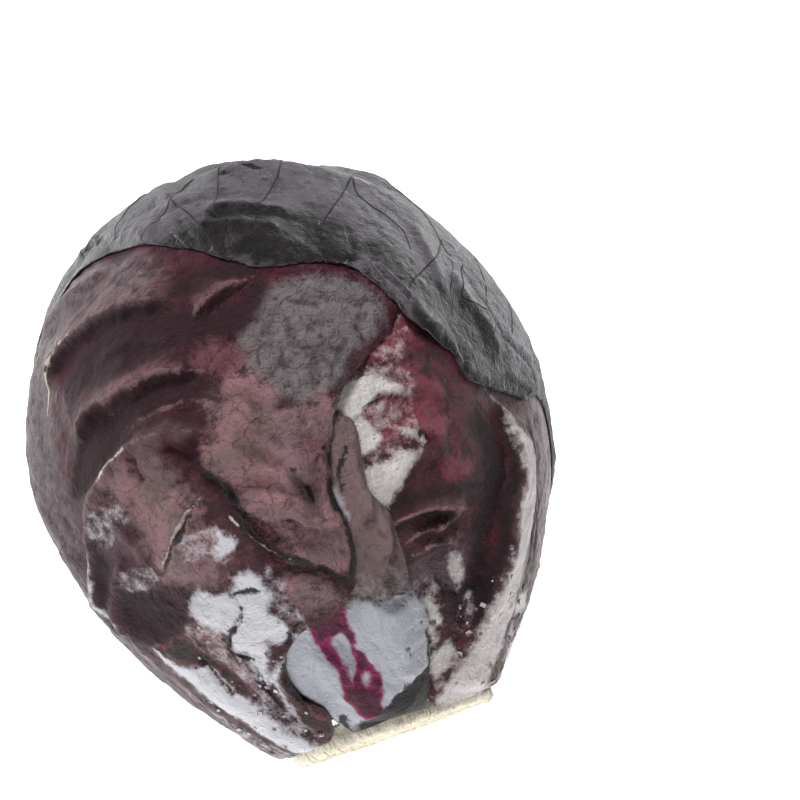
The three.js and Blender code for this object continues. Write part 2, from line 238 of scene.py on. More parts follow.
RIGHT_BACK = Leaf(
    "right_back_leaf",
    middle=[85, 104],
    low=[[BASE, 64], [30, 64], [45, 64], [60, 66], [80, 68], [100, 72], [126, 76]],
    high=[[BASE, 114], [30, 121], [45, 130], [70, 140], [100, 144], [126, 146]],
    rib=[[BASE, 89], [32, 91], [50, 95], [76, 101], [104, 106], [128, 109], [145, 110]],
    tip=[[126, 76], [140, 90], [145, 110], [140, 130], [126, 146]],
    rib_end=2,
    stalk=(5.5, 13),
)
RIGHT = Leaf(
    "right_leaf",
    middle=[85, 50],
    low=[
        [RIGHT_FOOT, 14], [24, 13], [32, 14], [38, 10], [48, -4], [62, -18], [80, -28], [104, -33],
        [128, -30],
    ],
    high=[[RIGHT_FOOT, 60], [28, 67], [40, 78], [56, 89], [76, 96], [100, 101], [124, 104]],
    rib=[[RIGHT_FOOT, 37], [30, 41], [42, 46], [60, 52], [80, 57], [104, 62], [128, 60], [146, 48]],
    tip=[[128, -30], [140, -8], [146, 18], [146, 48], [142, 76], [124, 104]],
    rib_end=3,
    stalk=(5.5, 12),
)
FRONT = Leaf(
    "front_leaf",
    middle=[80, -30],
    low=[[BASE, -32], [27, -36], [36, -44], [50, -58], [72, -70], [98, -76], [124, -74]],
    high=[
        [BASE, 11], [25, 13], [32, 13], [38, 14], [44, 10], [52, 9], [60, 8], [68, 4], [76, 5],
        [82, 6], [87, 1], [98, -3], [124, -4],
    ],
    rib=[[BASE, -9], [30, -6], [40, -5], [54, -10], [74, -20], [98, -30], [122, -36], [138, -38]],
    tip=[[124, -74], [134, -58], [138, -38], [136, -20], [124, -4]],
    rib_end=2,
    stalk=(5.5, 13),
)
LEFT_BACK = Leaf(
    "left_back_leaf",
    middle=[85, -122],
    low=[[BASE, -158], [30, -158], [44, -157], [70, -152], [100, -149], [128, -150]],
    high=[[BASE, -104], [30, -97], [44, -90], [70, -86], [100, -86], [128, -92]],
    rib=[[BASE, -131], [32, -130], [50, -127], [76, -123], [104, -121], [128, -121], [145, -122]],
    tip=[[128, -150], [140, -138], [145, -122], [140, -104], [128, -92]],
    rib_end=2,
    stalk=(5.5, 13),
)
LEFT = Leaf(
    "left_leaf",
    middle=[88, -55],
    low=[[BASE, -88], [28, -94], [40, -104], [58, -116], [80, -124], [104, -128], [130, -128]],
    high=[
        [BASE, -40], [26, -33], [31, -37], [36, -36], [41, -30], [44, -22], [45.5, -12], [50, -6],
        [58, -3], [66, -4], [74, -3], [80, 0], [86, 3], [91, 8], [96, 16], [102, 25], [114, 34],
        [130, 38],
    ],
    rib=[
        [BASE, -64], [32, -66], [45, -68], [60, -73], [78, -80], [98, -85], [120, -88], [142, -84],
        [156, -62],
    ],
    tip=[[130, -128], [146, -106], [156, -62], [154, -22], [144, 14], [130, 38]],
    rib_end=2,
    stalk=(5.5, 14),
)
CROWN = Leaf(
    "crown_leaf",
    middle=[128, 160],
    low=[
        [BASE, 124], [30, 114], [45, 103], [56, 92], [64, 83], [72, 79], [77, 74], [79, 66], [78, 58],
        [80, 51], [82, 43], [85, 37], [90, 36], [94, 32], [99, 27], [107, 24], [116, 21],
    ],
    high=[
        [BASE, 178], [30, 190], [45, 206], [60, 220], [76, 236], [96, 253], [116, 266], [134, 275],
        [146, 281],
    ],
    rib=[
        [BASE, 151], [32, 150], [50, 150], [75, 152], [105, 155], [135, 160], [160, 172], [170, 300],
        [150, 338], [126, 349],
    ],
    tip=[
        [116, 21], [118, 14], [119, 3], [121, -4], [126, -11], [132, -20], [138, -36], [144, -54],
        [148, -66], [146, -79],
    ],
    rib_end=4,
    stalk=(6, 14),
)
LEAVES = [RIGHT_BACK, RIGHT, FRONT, LEFT_BACK, LEFT, CROWN]
for leaf in LEAVES:
    width, length = np.ptp(leaf.outline, axis=0)
    print(f"{leaf.name}: {width:.0f} mm wide and {length:.0f} mm long on its map")

# %% [markdown]
# ## A net over each leaf
# A blade could be cut from a plain grid, but then its margin would be a staircase. A better net
# follows the leaf: one set of threads runs beside the midrib, the other from the rib out to the
# margins, and the outermost threads are the margins themselves. The margins get small nicks and
# waves here, because a trimmed cabbage leaf never ends in a clean curve.

# %% The net
INNER_STEP = 4  # the inner face and the slow fields use each fourth thread
MARGIN_STEPS = 400


def soft_line(count, size, seed):
    """Unevenness along a line of `count` points, from -1 to 1, in swells of `size` points."""
    return np.array([noise.fractal(Vector((i / size, seed, 0.5)), 0.8, 2.2, 5) for i in range(count)])


def nicked(line, size, seed):
    """A margin with waves and small tears up to `size` millimetres deep."""
    along = np.gradient(line, axis=0)
    out = np.stack([along[:, 1], -along[:, 0]], axis=1)
    out /= np.maximum(np.linalg.norm(out, axis=1, keepdims=True), 1e-9)
    spacing = np.linalg.norm(np.diff(line, axis=0), axis=1).mean()
    waves = soft_line(len(line), 7 / spacing, seed)
    ends = np.minimum(smooth(np.arange(len(line)), 0, 8), smooth(np.arange(len(line))[::-1], 0, 8))
    return line + out * (size * waves * ends)[:, None]


def half_net(leaf, rows, count, towards_high, nicks):
    """Flat points from the midrib to one margin, as rows x columns."""
    side = leaf.high if towards_high else leaf.low
    seed = len(leaf.name) + (5 if towards_high else 0)
    rib = leaf.line(leaf.rib, MARGIN_STEPS)
    margin = nicked(leaf.line(side, MARGIN_STEPS), nicks, seed)
    tip = leaf.tip[leaf.rib_end :] if towards_high else leaf.tip[: leaf.rib_end + 1][::-1]
    tip = nicked(leaf.line(tip, MARGIN_STEPS), -nicks if towards_high else nicks, seed + 3)
    steps = np.arange(MARGIN_STEPS + 1)

    def at(line, shares):
        return np.stack([np.interp(shares * MARGIN_STEPS, steps, column) for column in line.T], axis=-1)

    v, u = rows[:, None, None], np.linspace(0, 1, count + 1)[None, :, None]
    across = at(rib, rows)[:, None] * (1 - u) + at(margin, rows)[:, None] * u
    base = rib[0] * (1 - u) + margin[0] * u
    up = base * (1 - v) + at(tip, u[0, :, 0])[None] * v
    straight = base * (1 - v) + (rib[-1] * (1 - u) + margin[-1] * u) * v
    return across + up - straight


def net(leaf, rows, low, high, nicks):
    """The whole leaf, from the low margin over the midrib to the high one."""
    left = half_net(leaf, rows, low, False, nicks)[:, ::-1]
    return np.concatenate([left[:, :-1], half_net(leaf, rows, high, True, nicks)], axis=1)


rows, columns, _ = net(CROWN, np.linspace(0, 1, 13), 6, 6, 0).shape
print("a rough net of the crown leaf:", rows, "by", columns, "threads")

# %% [markdown]
# ### From a coarse net to a fine one
# Some numbers, such as how high a leaf lies, change slowly over it and take long to work out. They
# are found on each fourth thread, and smooth curves carry them to the threads between.

# %% Refining a field


def refined(coarse, rows, columns):
    """A smooth field that is known on every fourth thread, on all of them."""

    def weights(count, fine):
        at = np.arange(fine) / INNER_STEP
        first = np.minimum(at.astype(int), count - 2)
        t = at - first
        parts = [(-t + 2 * t**2 - t**3) / 2, (2 - 5 * t**2 + 3 * t**3) / 2]
        parts += [(t + 4 * t**2 - 3 * t**3) / 2, (t**3 - t**2) / 2]
        table = np.zeros((fine, count))
        for shift, part in zip((-1, 0, 1, 2), parts):
            np.add.at(table, (np.arange(fine), np.clip(first + shift, 0, count - 1)), part)
        return table

    return weights(coarse.shape[0], rows) @ coarse @ weights(coarse.shape[1], columns).T


print("a slope of 0, 1 and 2, refined:", refined(np.array([[0.0, 1, 2]] * 3), 1, 9).round(2).tolist())

# %% [markdown]
# ## How high each leaf lies
# Each leaf lies on the heart and on every leaf inside it, with a little air between. Where an
# inner leaf ends, the leaf over it comes down in a soft ramp, and that ramp is the broad step
# that shows through a real wrapper leaf. A leaf is pressed flat under an outer one, so folds
# only rise where it lies open.

# %% Stacking the leaves
LAP_FLAT = 6
LAP_RAMP = 18
PRESSED_FROM = 2
PRESSED_TO = 11


def spread_out(leaf, rows, low, high, crowding, nicks):
    """A leaf's net and, for each of its points: direction, inner radius, openness and edge.

    Crowding above 1 draws the threads together towards the stump, and below 1 towards the tip.
    """
    flat = net(leaf, np.linspace(0, 1, rows + 1) ** crowding, low, high, nicks)
    coarse = flat[::INNER_STEP, ::INNER_STEP]
    d = leaf.round(coarse.reshape(-1, 2))
    inside = [inside_by(other.outline, other.flat(d)) for other in LEAVES]
    place = LEAVES.index(leaf)
    inner = heart_radius(d) + GAP
    for other in inside[:place]:
        inner = inner + smooth(other, -LAP_FLAT - LAP_RAMP, -LAP_FLAT) * (BLADE + GAP)
    lies_open = np.ones(len(d))
    for other in inside[place + 1 :]:
        lies_open = lies_open * (1 - smooth(other, -PRESSED_TO, -PRESSED_FROM))
    blade = {"shape": flat.shape[:2], "flat": flat.reshape(-1, 2), "rib_column": low}
    blade["rows_at"] = np.linspace(0, 1, rows + 1) ** crowding
    blade["d"] = leaf.round(blade["flat"])
    for key, field in (("inner", inner), ("open", lies_open), ("edge", inside[place])):
        blade[key] = refined(field.reshape(coarse.shape[:2]), *flat.shape[:2]).ravel()
    blade["open"] = np.clip(blade["open"], 0, 1)
    return blade


BLADES = {
    "right_back_leaf": spread_out(RIGHT_BACK, 112, 48, 48, 1.0, 0.8),
    "right_leaf": spread_out(RIGHT, 232, 120, 88, 1.1, 0.9),
    "front_leaf": spread_out(FRONT, 208, 84, 104, 1.25, 0.9),
    "left_back_leaf": spread_out(LEFT_BACK, 112, 48, 48, 1.0, 0.8),
    "left_leaf": spread_out(LEFT, 256, 68, 216, 1.0, 0.9),
    "crown_leaf": spread_out(CROWN, 308, 148, 112, 0.72, 0.9),
}
for name, blade in BLADES.items():
    print(f"{name}: {len(blade['d'])} points, {blade['inner'].min():.1f} to {blade['inner'].max():.1f} mm")

# %% [markdown]
# ## Folds and tears
# Relief could be painted as bump, but bump never changes an outline or casts a shadow, so folds
# are real height here. A fold is a line with a height and two flank widths, because a blade that
# buckles leans over to one side and leaves a hollow there. A tear is a step that fades away from
# its line.

# %% Folds and tears
FAR = 24.0  # no mark or line is felt from further away
FOLD_RISE = 1.3  # every fold is this much higher than its own figure says


def within_reach(path, points, reach):
    """The numbers of the points that lie in the path's box, widened by the reach."""
    middle, half = (path.min(0) + path.max(0)) / 2, np.ptp(path, 0) / 2
    return np.flatnonzero((np.abs(points - middle) < half + reach).all(1))


def beside(leaf, points, places, reach):
    """Distance, share and side of a line on the leaf, for the points that it can reach."""
    path = leaf.line(places, 8 * len(places))
    near = within_reach(path, points, reach)
    distance, share, side = np.full(len(points), float(reach)), np.zeros(len(points)), np.ones(len(points))
    if len(near):
        distance[near], share[near], side[near] = nearest(path, points[near])
    return distance, share, side


def fold(leaf, points, rise, above, below, *places):
    """A raised fold, or a crease where rise is negative: its height, crest and hollow.

    Above and below are its widths on the crown's side and on the stem's. The crest is in
    millimetres inside a thin line along the top, where a highlight is painted, and the hollow is 1
    right under the steep side, where shade is painted.
    """
    steep, gentle = min(above, below), max(above, below)
    distance, share, side = beside(leaf, points, places, 3 * gentle)
    side = side if below <= above else -side
    ends = smooth(share, 0, 0.18) * smooth(1 - share, 0, 0.18)
    dip = 0.3 * smooth(distance, 0, steep) * np.exp(-((distance - 2 * steep) / (2.5 * steep)) ** 2)
    flanks = np.exp(-((distance / gentle) ** 1.4)), np.exp(-((distance / steep) ** 2)) - dip
    height = FOLD_RISE * rise * ends * np.where(side > 0, *flanks)
    crest = np.where(ends > 0, 0.4 * ends - distance, -FAR)
    hollow = ends * smooth(-side * distance, 0, 1.2) * (1 - smooth(distance, 0.5 * steep, steep + 4))
    return height, crest, hollow


def torn_edge(leaf, points, rise, reach, *places):
    """A step along a tear: the crown's side stands up and settles again over the reach."""
    distance, share, side = beside(leaf, points, places, 4 * reach)
    ends = smooth(share, 0, 0.2) * smooth(1 - share, 0, 0.2)
    return rise * ends * np.where(side > 0, np.exp(-distance / reach), -0.35 * np.exp(-distance / 1.5))


heights = [round(3 * math.exp(-((x / 6) ** 2)), 2) for x in (0, 3, 6, 9)]
print("a 3 mm fold, 0 to 9 mm from its line:", heights)

# %% [markdown]
# ## Marks
# A patch of colour could be painted on an image, but an image has an end to its sharpness. Here
# a mark is kept as the distance to its border in millimetres, and the finish frays that border
# as finely as it likes. A mark is either a line with half a width, or a ring of places.

# %% Marks
# Dark marks are painted shadow in cracks and gaps, partly dark torn tissue; deep marks are painted shade;
# flecked patches are partly painted glints, and one pale line is a painted glint.
MARKS = ("pale", "flecked", "clear", "scar", "dark", "stain", "blush", "worn", "deep")


def marked(leaf, points, marks):
    """Millimetres inside the nearest mark, negative outside. Half width 0 means a patch."""
    best = np.full(len(points), -FAR)
    for half, *places in marks:
        if half:
            distance, share, _ = beside(leaf, points, places, FAR)
            inside = half * np.sqrt(np.clip(4 * share * (1 - share), 0.01, 1)) - distance
        else:
            ring = leaf.line([*places, places[0]], 6 * len(places))
            near = within_reach(ring, points, FAR)
            inside = np.full(len(points), -FAR)
            inside[near] = inside_by(ring, points[near])
        best = np.maximum(best, inside)
    return best


print(len(MARKS), "kinds of mark:", ", ".join(MARKS))

# %% [markdown]
# ## Unevenness and midribs
# Nothing on a leaf is quite smooth. Noise gives it swells of any size, cells give it the puffed
# islands that rise between its veins, and the midrib swells towards the stump into the stalk.

# %% Unevenness and midribs


def rough(points, size, seed, octaves=4):
    """Soft unevenness from about -1 to 1, with swells `size` millimetres across."""
    shift = Vector((13.7 * seed, 7.1 * seed, 3.3 * seed))
    return np.array([noise.fractal(Vector(p) + shift, 0.9, 2.1, octaves) for p in (points / size).tolist()])


def puffed(points, size, seed):
    """Puffed islands `size` millimetres across: 0 along the fine veins and 1 between them."""
    shift = Vector((5.9 * seed, 11.3 * seed, 1.7 * seed))
    near = [noise.voronoi(Vector(p) + shift)[0] for p in (points / size).tolist()]
    return smooth(np.array([second - first for first, second, *_ in near]), 0, 0.45)


def ribbed(leaf, blade):
    """The midrib: broad and high at the stump, thin at the tip."""
    distance, share, _ = nearest(leaf.rib_line, blade["flat"])
    taper = (1 - share) ** 2
    rise, half = leaf.stalk
    height = 0.5 + (rise - 0.5) * taper**2
    return height * np.exp(-((distance / (3 + (half - 3) * taper)) ** 4)), distance, share


print("stalks at the stump, mm high:", {leaf.name: leaf.stalk[0] for leaf in LEAVES})

# %% [markdown]
# ## The left leaf
# This is the broad leaf in front. Its blade has buckled into long curved folds that run round
# the head, each with a steep side, a hollow under it that is painted dark as shade, and a crest
# painted lighter as a highlight. The crests are torn here and there, and the pale tissue of the
# stalk shows in flaking patches near the stump. A blister of puffed grey cells keeps some of its
# bloom, and the rim and the shelf above the folds are painted with bloom that also stands for
# the pale reflection on the rim and the highlight on the shelf.

# %% Marks on the left leaf
LEFT_FOLDS = [
    (3.0, 11, 2.2, [112.5, -69.5], [118, -67.5], [121, -61], [122.5, -54], [123, -46.5], [122.5, -39],
     [121.5, -32.5], [120.5, -26.5], [118, -20]),
    (2.2, 7, 2.0, [114, -21], [115.5, -17.5], [117.5, -11.5], [118, -6], [119.5, -2.5]),
    (1.4, 4, 3.6, [127, -79], [132, -73], [133.5, -64.5], [135, -55], [135.5, -48], [136, -41]),
    (0.9, 5, 2, [114, -47], [114.5, -37.5], [112.5, -30], [110, -25.5]),
    (2.8, 7, 2.2, [99, -60], [102, -55], [104.5, -50.5], [104.5, -43.5], [104.5, -36.5], [104.5, -31.5],
     [104, -27], [102.5, -22.5], [101, -19]),
    (2.0, 2.6, 6, [97, -41], [97, -37], [97.5, -29.5], [97, -25.5], [94, -20.5], [91.5, -18.5]),
    (3.2, 2.8, 9, [82, -61], [87, -57.5], [89, -53], [91, -48.5], [92.5, -44], [93, -39.5], [93, -34],
     [92.5, -30.5], [90.5, -26.5], [88, -24]),
    (-1.3, 2.4, 2.4, [91, -40], [90, -41.5], [88, -42], [85, -41.5]),
    (-1.5, 3, 3, [90.5, -34], [88.5, -31], [86, -29], [83, -28]),
    (2.6, 9, 7, [62, -42], [70, -41], [76, -38], [81, -35]),
    (2.4, 6, 3.5, [98, -16], [93, -11], [88, -8]),
    (2.0, 5, 3.5, [89.5, -9], [86.5, -9], [82.5, -8.5], [78.5, -8], [75.5, -7], [75, -5]),
    (2.4, 6, 3.5, [88, -20], [85.5, -17.5], [83.5, -14], [80, -11], [77, -9.5], [73.5, -7]),
    (2.4, 6, 3.5, [82, -26], [80.5, -23.5], [79, -19.5], [77.5, -15], [74, -11.5], [71.5, -10.5]),
    (2.2, 5, 3.5, [72.5, -24], [71.5, -18.5], [69.5, -14], [66, -9.5], [65, -5]),
    (-0.8, 1.5, 1.5, [77, -10.5], [75.5, -10], [71.5, -8.5], [68.5, -8]),
    (-1.2, 1.4, 1.4, [68, -16.5], [67, -14], [65.5, -12.5]),
    (-1.5, 1.8, 1.8, [58.5, -23], [57.5, -17.5], [55, -11.5], [51, -8], [49, -7]),
    (2.2, 4.5, 3.5, [79, -2.5], [77, -3], [71.5, -3.5], [67, -4], [61, -3]),
    (1.8, 5, 3, [90, -59], [84, -62.5], [79.5, -66.5], [73.5, -71], [68, -76], [63, -75.5]),
    (1.4, 3, 3, [73, -56], [70.5, -62], [68, -66.5], [64.5, -71], [61, -72.5], [57.5, -71.5]),
    (1.6, 6, 5, [70, -49], [77, -53], [84, -54]),
    (-1.0, 2, 2, [112, 2], [110.5, 0.5], [105.5, -5], [100, -6], [95, -4], [90, -6]),
    (-0.9, 1.8, 1.8, [102, 0], [99, 0.5], [96.5, 2], [92, 0]),
    (-0.9, 1.8, 1.8, [108.5, 4], [108, 12], [104, 19]),
]
LEFT_TEARS = [
    (2.4, 7, [87, -30.5], [85, -29.5], [81, -27], [79, -25], [76, -25], [73, -23.5], [70, -21], [68, -17],
     [66, -13], [64, -8]),
    (2.2, 6, [74, -28], [72.5, -26.5], [68, -24.5], [64.5, -23], [61.5, -20], [59, -16.5], [57, -14],
     [53.5, -9], [50, -7]),
    (1.2, 5, [59, -33], [57, -36], [54, -36], [51.5, -36.5], [50, -38.5], [49, -41.5], [46, -45.5]),
    (1.6, 4, [78, -29.5], [75.5, -34], [72, -39.5], [69, -44.5], [67, -48]),
]
LEFT_MARKS = {
    "pale": [
        (0, [60, -45.5], [59.5, -42], [57, -36], [57.5, -34.5], [60, -31.5], [60.5, -27.5], [58, -26.5],
         [54.5, -26], [51, -28.5], [46.5, -26.5], [43.5, -27], [44, -34], [41, -38], [37, -41.5],
         [36, -45], [39.5, -45], [43.5, -42.5], [45, -45.5], [48.5, -43], [51, -46], [54.5, -49],
         [57.5, -48.5]),
        (0, [70, -30], [67.5, -27], [65, -31], [64.5, -33.5], [67.5, -33.5]),
        (0, [54, -68.5], [53, -64.5], [48.5, -63.5], [45.5, -55], [40.5, -53.5], [35.5, -52.5], [29, -51.5],
         [23, -47], [20.5, -54], [26.5, -59.5], [32.5, -63], [37, -66.5], [43.5, -67.5], [50, -68]),
        (0.5, [62, -72], [67, -75], [73, -72], [79, -69]),
        (1.2, [24, -42], [30, -42], [36, -41]),
        (1.0, [44, -26], [41.5, -27], [38.5, -35], [36, -43.5]),
    ],
    # These flecked patches are partly flaking pale tissue and partly painted glints where the glossy skin
    # sparkles.
    "flecked": [
        (0, [54, -53], [51, -46], [48.5, -43], [46, -46.5], [43.5, -45.5], [38.5, -46.5], [35, -46.5],
         [29.5, -46.5], [26, -44.5], [24, -48], [30, -52], [39.5, -52], [43, -54], [48, -57], [51.5, -55.5]),
        (0, [72, -39.5], [72, -34], [70.5, -29.5], [66.5, -27.5], [65.5, -30], [65, -32.5], [66.5, -37.5],
         [69, -40.5]),
        (0, [84.5, -58], [83, -50.5], [80, -49.5], [78.5, -54], [76.5, -60.5], [80, -63.5], [83, -62]),
        (0, [70.5, -59], [70, -52], [67, -50], [65, -53.5], [66, -60], [68.5, -62.5]),
        (0, [57.5, -73], [51, -78], [45, -80], [38, -82], [30, -82], [20, -84], [20, -66], [26, -65],
         [33, -70], [38, -74], [46, -75], [53, -73]),
        (0, [60, -23.5], [57.5, -22], [53, -22.5], [49, -21.5], [45.5, -22], [43.5, -27], [46.5, -28],
         [50.5, -28], [55, -26.5]),
    ],
    "scar": [
        (0.55, [109, -71], [112.5, -69.5], [116, -68.5], [119, -65.5], [121, -61]),
        (0.35, [121, -61], [122, -57], [122.5, -54]),
        (0.5, [89, -52.5], [91.5, -48.5], [92.5, -44.5], [93, -40.5]),
        (0.5, [67, -48], [68.5, -46.5], [72, -41], [75.5, -35.5], [78.5, -30]),
        (0.5, [72.5, -27], [70.5, -26], [69.5, -25]),
        (0.3, [68, -24.3], [65, -22.8], [62, -20.5], [59.3, -17.5]),
    ],
    # Painted shadow: the dark lines along the tears, creases and the gap by the front leaf, over shallow
    # grooves.
    "dark": [
        (1.4, [86, -29.5], [84, -28.2], [80.5, -26.3], [78.5, -24.5], [75, -23.8], [72, -22.6], [69, -19.5]),
        (1.2, [72.5, -26], [68, -24], [64.5, -22.6], [61.5, -19.6], [59, -16], [56, -12], [52, -8],
         [49, -6.5]),
        (0.6, [58.5, -23], [57.5, -17.5], [55, -11.5], [51, -8]),
        (0.6, [57, -34.5], [53.5, -35], [51, -37.5], [48.5, -43], [45.5, -46.5], [42.5, -42.5]),
        (0.5, [57, -35], [56.5, -32], [56, -28]),
        (0.6, [41, -43], [35.5, -45.5], [30.5, -46.5]),
        (0.8, [66.5, -49], [68, -46], [72, -39.6], [75.5, -34]),
        (0.4, [101.6, -11.2], [101, -10.8]),
        (0.4, [90, -33], [88, -31], [85.5, -29.5]),
        (0.3, [90.5, -41], [89, -42], [86.5, -42]),
        (0.5, [77, -10.5], [75.5, -10], [71.5, -8.5], [68.5, -8]),
        (0.4, [68, -16.5], [67, -14], [65.5, -12.5]),
        (0.6, [46.5, -22], [45, -26], [42, -29], [38, -35], [33, -38], [28, -38]),
        (1.2, [79, -3], [76.5, -2.5], [74, -2], [70.5, -4], [67, -4], [63.5, -3], [60, -2.5], [56, -3.5],
         [52, -5.5], [49, -6.5]),
        (0.9, [47.5, -62], [46, -58], [42, -56.5], [38, -57]),
    ],
    "stain": [
        (0.5, [59, -38.5], [61, -35], [64.5, -33], [65, -27.5], [64.5, -24.5]),
        (0, [54.5, -67], [52.5, -57], [48, -55], [43, -51], [39.5, -50.5], [36, -51], [37.5, -55],
         [43, -56], [46.5, -60.5], [49, -65]),
        (0, [34.5, -40.5], [29.5, -37.5], [24.5, -33.5], [21, -36], [21, -40], [26, -43], [31, -42]),
    ],
    "blush": [
        (0, [83, -7], [83, -5], [81, -2.5], [79, -2.5], [76, -5], [75.5, -6.5], [78.5, -7.5], [80, -8]),
        (0, [88.5, -18], [85.5, -13], [83.5, -10], [82.5, -11], [84.5, -14], [86, -18]),
        (0, [104, -23.5], [107.5, -20.5], [107, -16.5], [105, -13], [102.5, -11], [100, -13.5], [101.5, -19]),
        (0, [52, -76], [45, -79], [37, -80], [29, -80], [29, -73], [37, -75], [45, -76]),
        (1.0, [116, -17], [118, -12], [118.5, -6]),
        (1.2, [105.5, -46], [105.5, -38], [105, -30]),
    ],
    # Painted shade: dark patches in the hollows under the folds.
    "deep": [
        (0, [122, -26], [124.5, -14], [123, -4], [118.5, -2], [118, -12], [119.5, -24]),
        (0, [114.5, -61.5], [119, -51], [120.5, -39], [118.5, -27.5], [115, -18.5], [114, -10], [117.5, -3.5],
         [112, -3.5], [107.5, -9.5], [107.5, -19], [108, -26], [108.5, -32], [106.5, -41], [105.5, -50.5],
         [103.5, -57.5]),
        (0, [98.5, -59.5], [102, -49.5], [102, -39], [102.5, -28.5], [99, -19.5], [97.5, -22.5], [99, -29.5],
         [98.5, -36.5], [96, -43.5], [92.5, -51.5], [89, -58.5], [89.5, -66.5]),
        (0, [78.5, -65], [74.5, -63], [70.5, -62], [66.5, -71], [62, -74], [56.5, -73.5], [54.5, -71],
         [61.5, -77.5], [70, -73]),
        (0, [68.5, -64.5], [65.5, -58], [62, -51.5], [58, -50], [54.5, -54], [54.5, -67], [58, -71.5],
         [63.5, -68.5]),
    ],
    "worn": [
        (0, [97, -22], [98.5, -15], [95, -10.5], [90.5, -8], [88.5, -4.5], [88.5, 1], [83, 1.5], [79.5, -1],
         [77.5, -3.5], [72.5, -4.5], [65.5, -3.5], [59, -3.5], [55, -5], [54.5, -10], [57.5, -16.5],
         [62.5, -17.5], [69, -19.5], [74, -22], [79, -23], [82, -25.5], [86.5, -26], [89.5, -22.5]),
        (0, [87, -52], [89, -44], [89, -38], [85, -34], [81.5, -34], [77.5, -31], [74, -34], [68.5, -31],
         [64.5, -32.5], [60.5, -38], [61.5, -45.5], [65.5, -49], [68.5, -48], [73, -47.5], [80, -50]),
        (0, [54, -53], [51, -46], [46, -47], [38, -47], [38, -50], [46, -53]),
        (0, [57, -21], [55, -15], [51, -11], [48.5, -12], [49, -19], [53, -22]),
    ],
}
BLISTER = [
    [113, -6], [114.5, 0], [115, 9], [113, 16], [108, 21], [101.5, 20], [97, 11], [91, 4], [89, -4],
    [96, -10.5], [104.5, -12],
]
# The rim keeps real bloom, and its paleness here is also a painted reflection along the left edge.
LEFT_RIM = [
    [99.5, -92], [116, -88], [130, -82], [136, -70], [132.5, -60], [122, -65], [106.5, -67.5], [96, -69],
    [88.5, -68], [77, -74], [68, -79], [62, -84], [66, -92], [82, -96],
]
# The shelf above the top fold is painted with some bloom that also stands for a painted highlight.
LEFT_SHELF = [
    [127, -90], [124, -72], [122, -62], [124.5, -54], [125, -46], [125, -40], [123.5, -33], [124, -27],
    [128, -25], [135, -32], [140, -45], [146, -60], [146, -90],
]
print(len(LEFT_FOLDS), "folds and creases,", len(LEFT_TEARS), "tears on the left leaf")

# %% [markdown]
# ## The right leaf
# The outer blade has been torn off here, so an inner surface shows: cream tissue mottled with
# burgundy, and sharp pale crests, torn and with a painted highlight, between hollows that are
# painted dark as shade. On the right a long bare band follows the midrib down to the stump,
# stained brown and purple along its outer side.

# %% Marks on the right leaf
RIGHT_FOLDS = [
    (2.4, 5, 1.4, [57.5, 5], [58, 8], [59.5, 14.5], [59.5, 19], [58.5, 24.5], [57, 31.5]),
    (2.0, 4, 1.4, [53, 10], [55, 14.5], [55, 21], [56, 25.5], [56, 28]),
    (1.8, 4, 1.4, [49.5, 8], [50.5, 12.5], [51.5, 17.5], [51.5, 22], [50, 26]),
    (1.6, 5, 3.6, [64.5, 5], [66.5, 9], [68.5, 12.5], [71, 15.5], [71.5, 22], [69.5, 28]),
    (1.6, 6, 3.6, [82, 4], [83.5, 9], [85, 13], [86, 18], [85, 25], [80, 32]),
    (1.4, 5, 3.6, [92, 9], [92.5, 14], [93, 22], [91, 30]),
    (1.2, 4, 3, [74, 6], [76, 11], [76.5, 16], [76, 22], [73, 29]),
    (-1.0, 1.6, 1.6, [83.5, 7], [84, 11], [85, 16], [83, 22]),
    (-0.8, 1.6, 1.6, [80, 9], [79.5, 14], [77, 18]),
    (2.4, 6, 2.6, [84, 42], [81, 43.5], [75.5, 47.5], [68, 50], [60.5, 49], [56, 46], [49, 45], [44, 42],
     [39, 38], [33, 34], [28, 29]),
    (-0.7, 1.0, 1.0, [75, 54], [63, 57], [50, 58], [40, 58]),
    (-0.6, 0.8, 0.8, [75, 58], [62, 60], [50, 62], [38, 64]),
]
RIGHT_TEARS = [
    (1.6, 4, [46, 6], [45, 12], [43, 17], [41.5, 23], [38, 28]),
    (1.2, 3, [38, 12], [36, 16], [34, 21], [33, 26]),
]
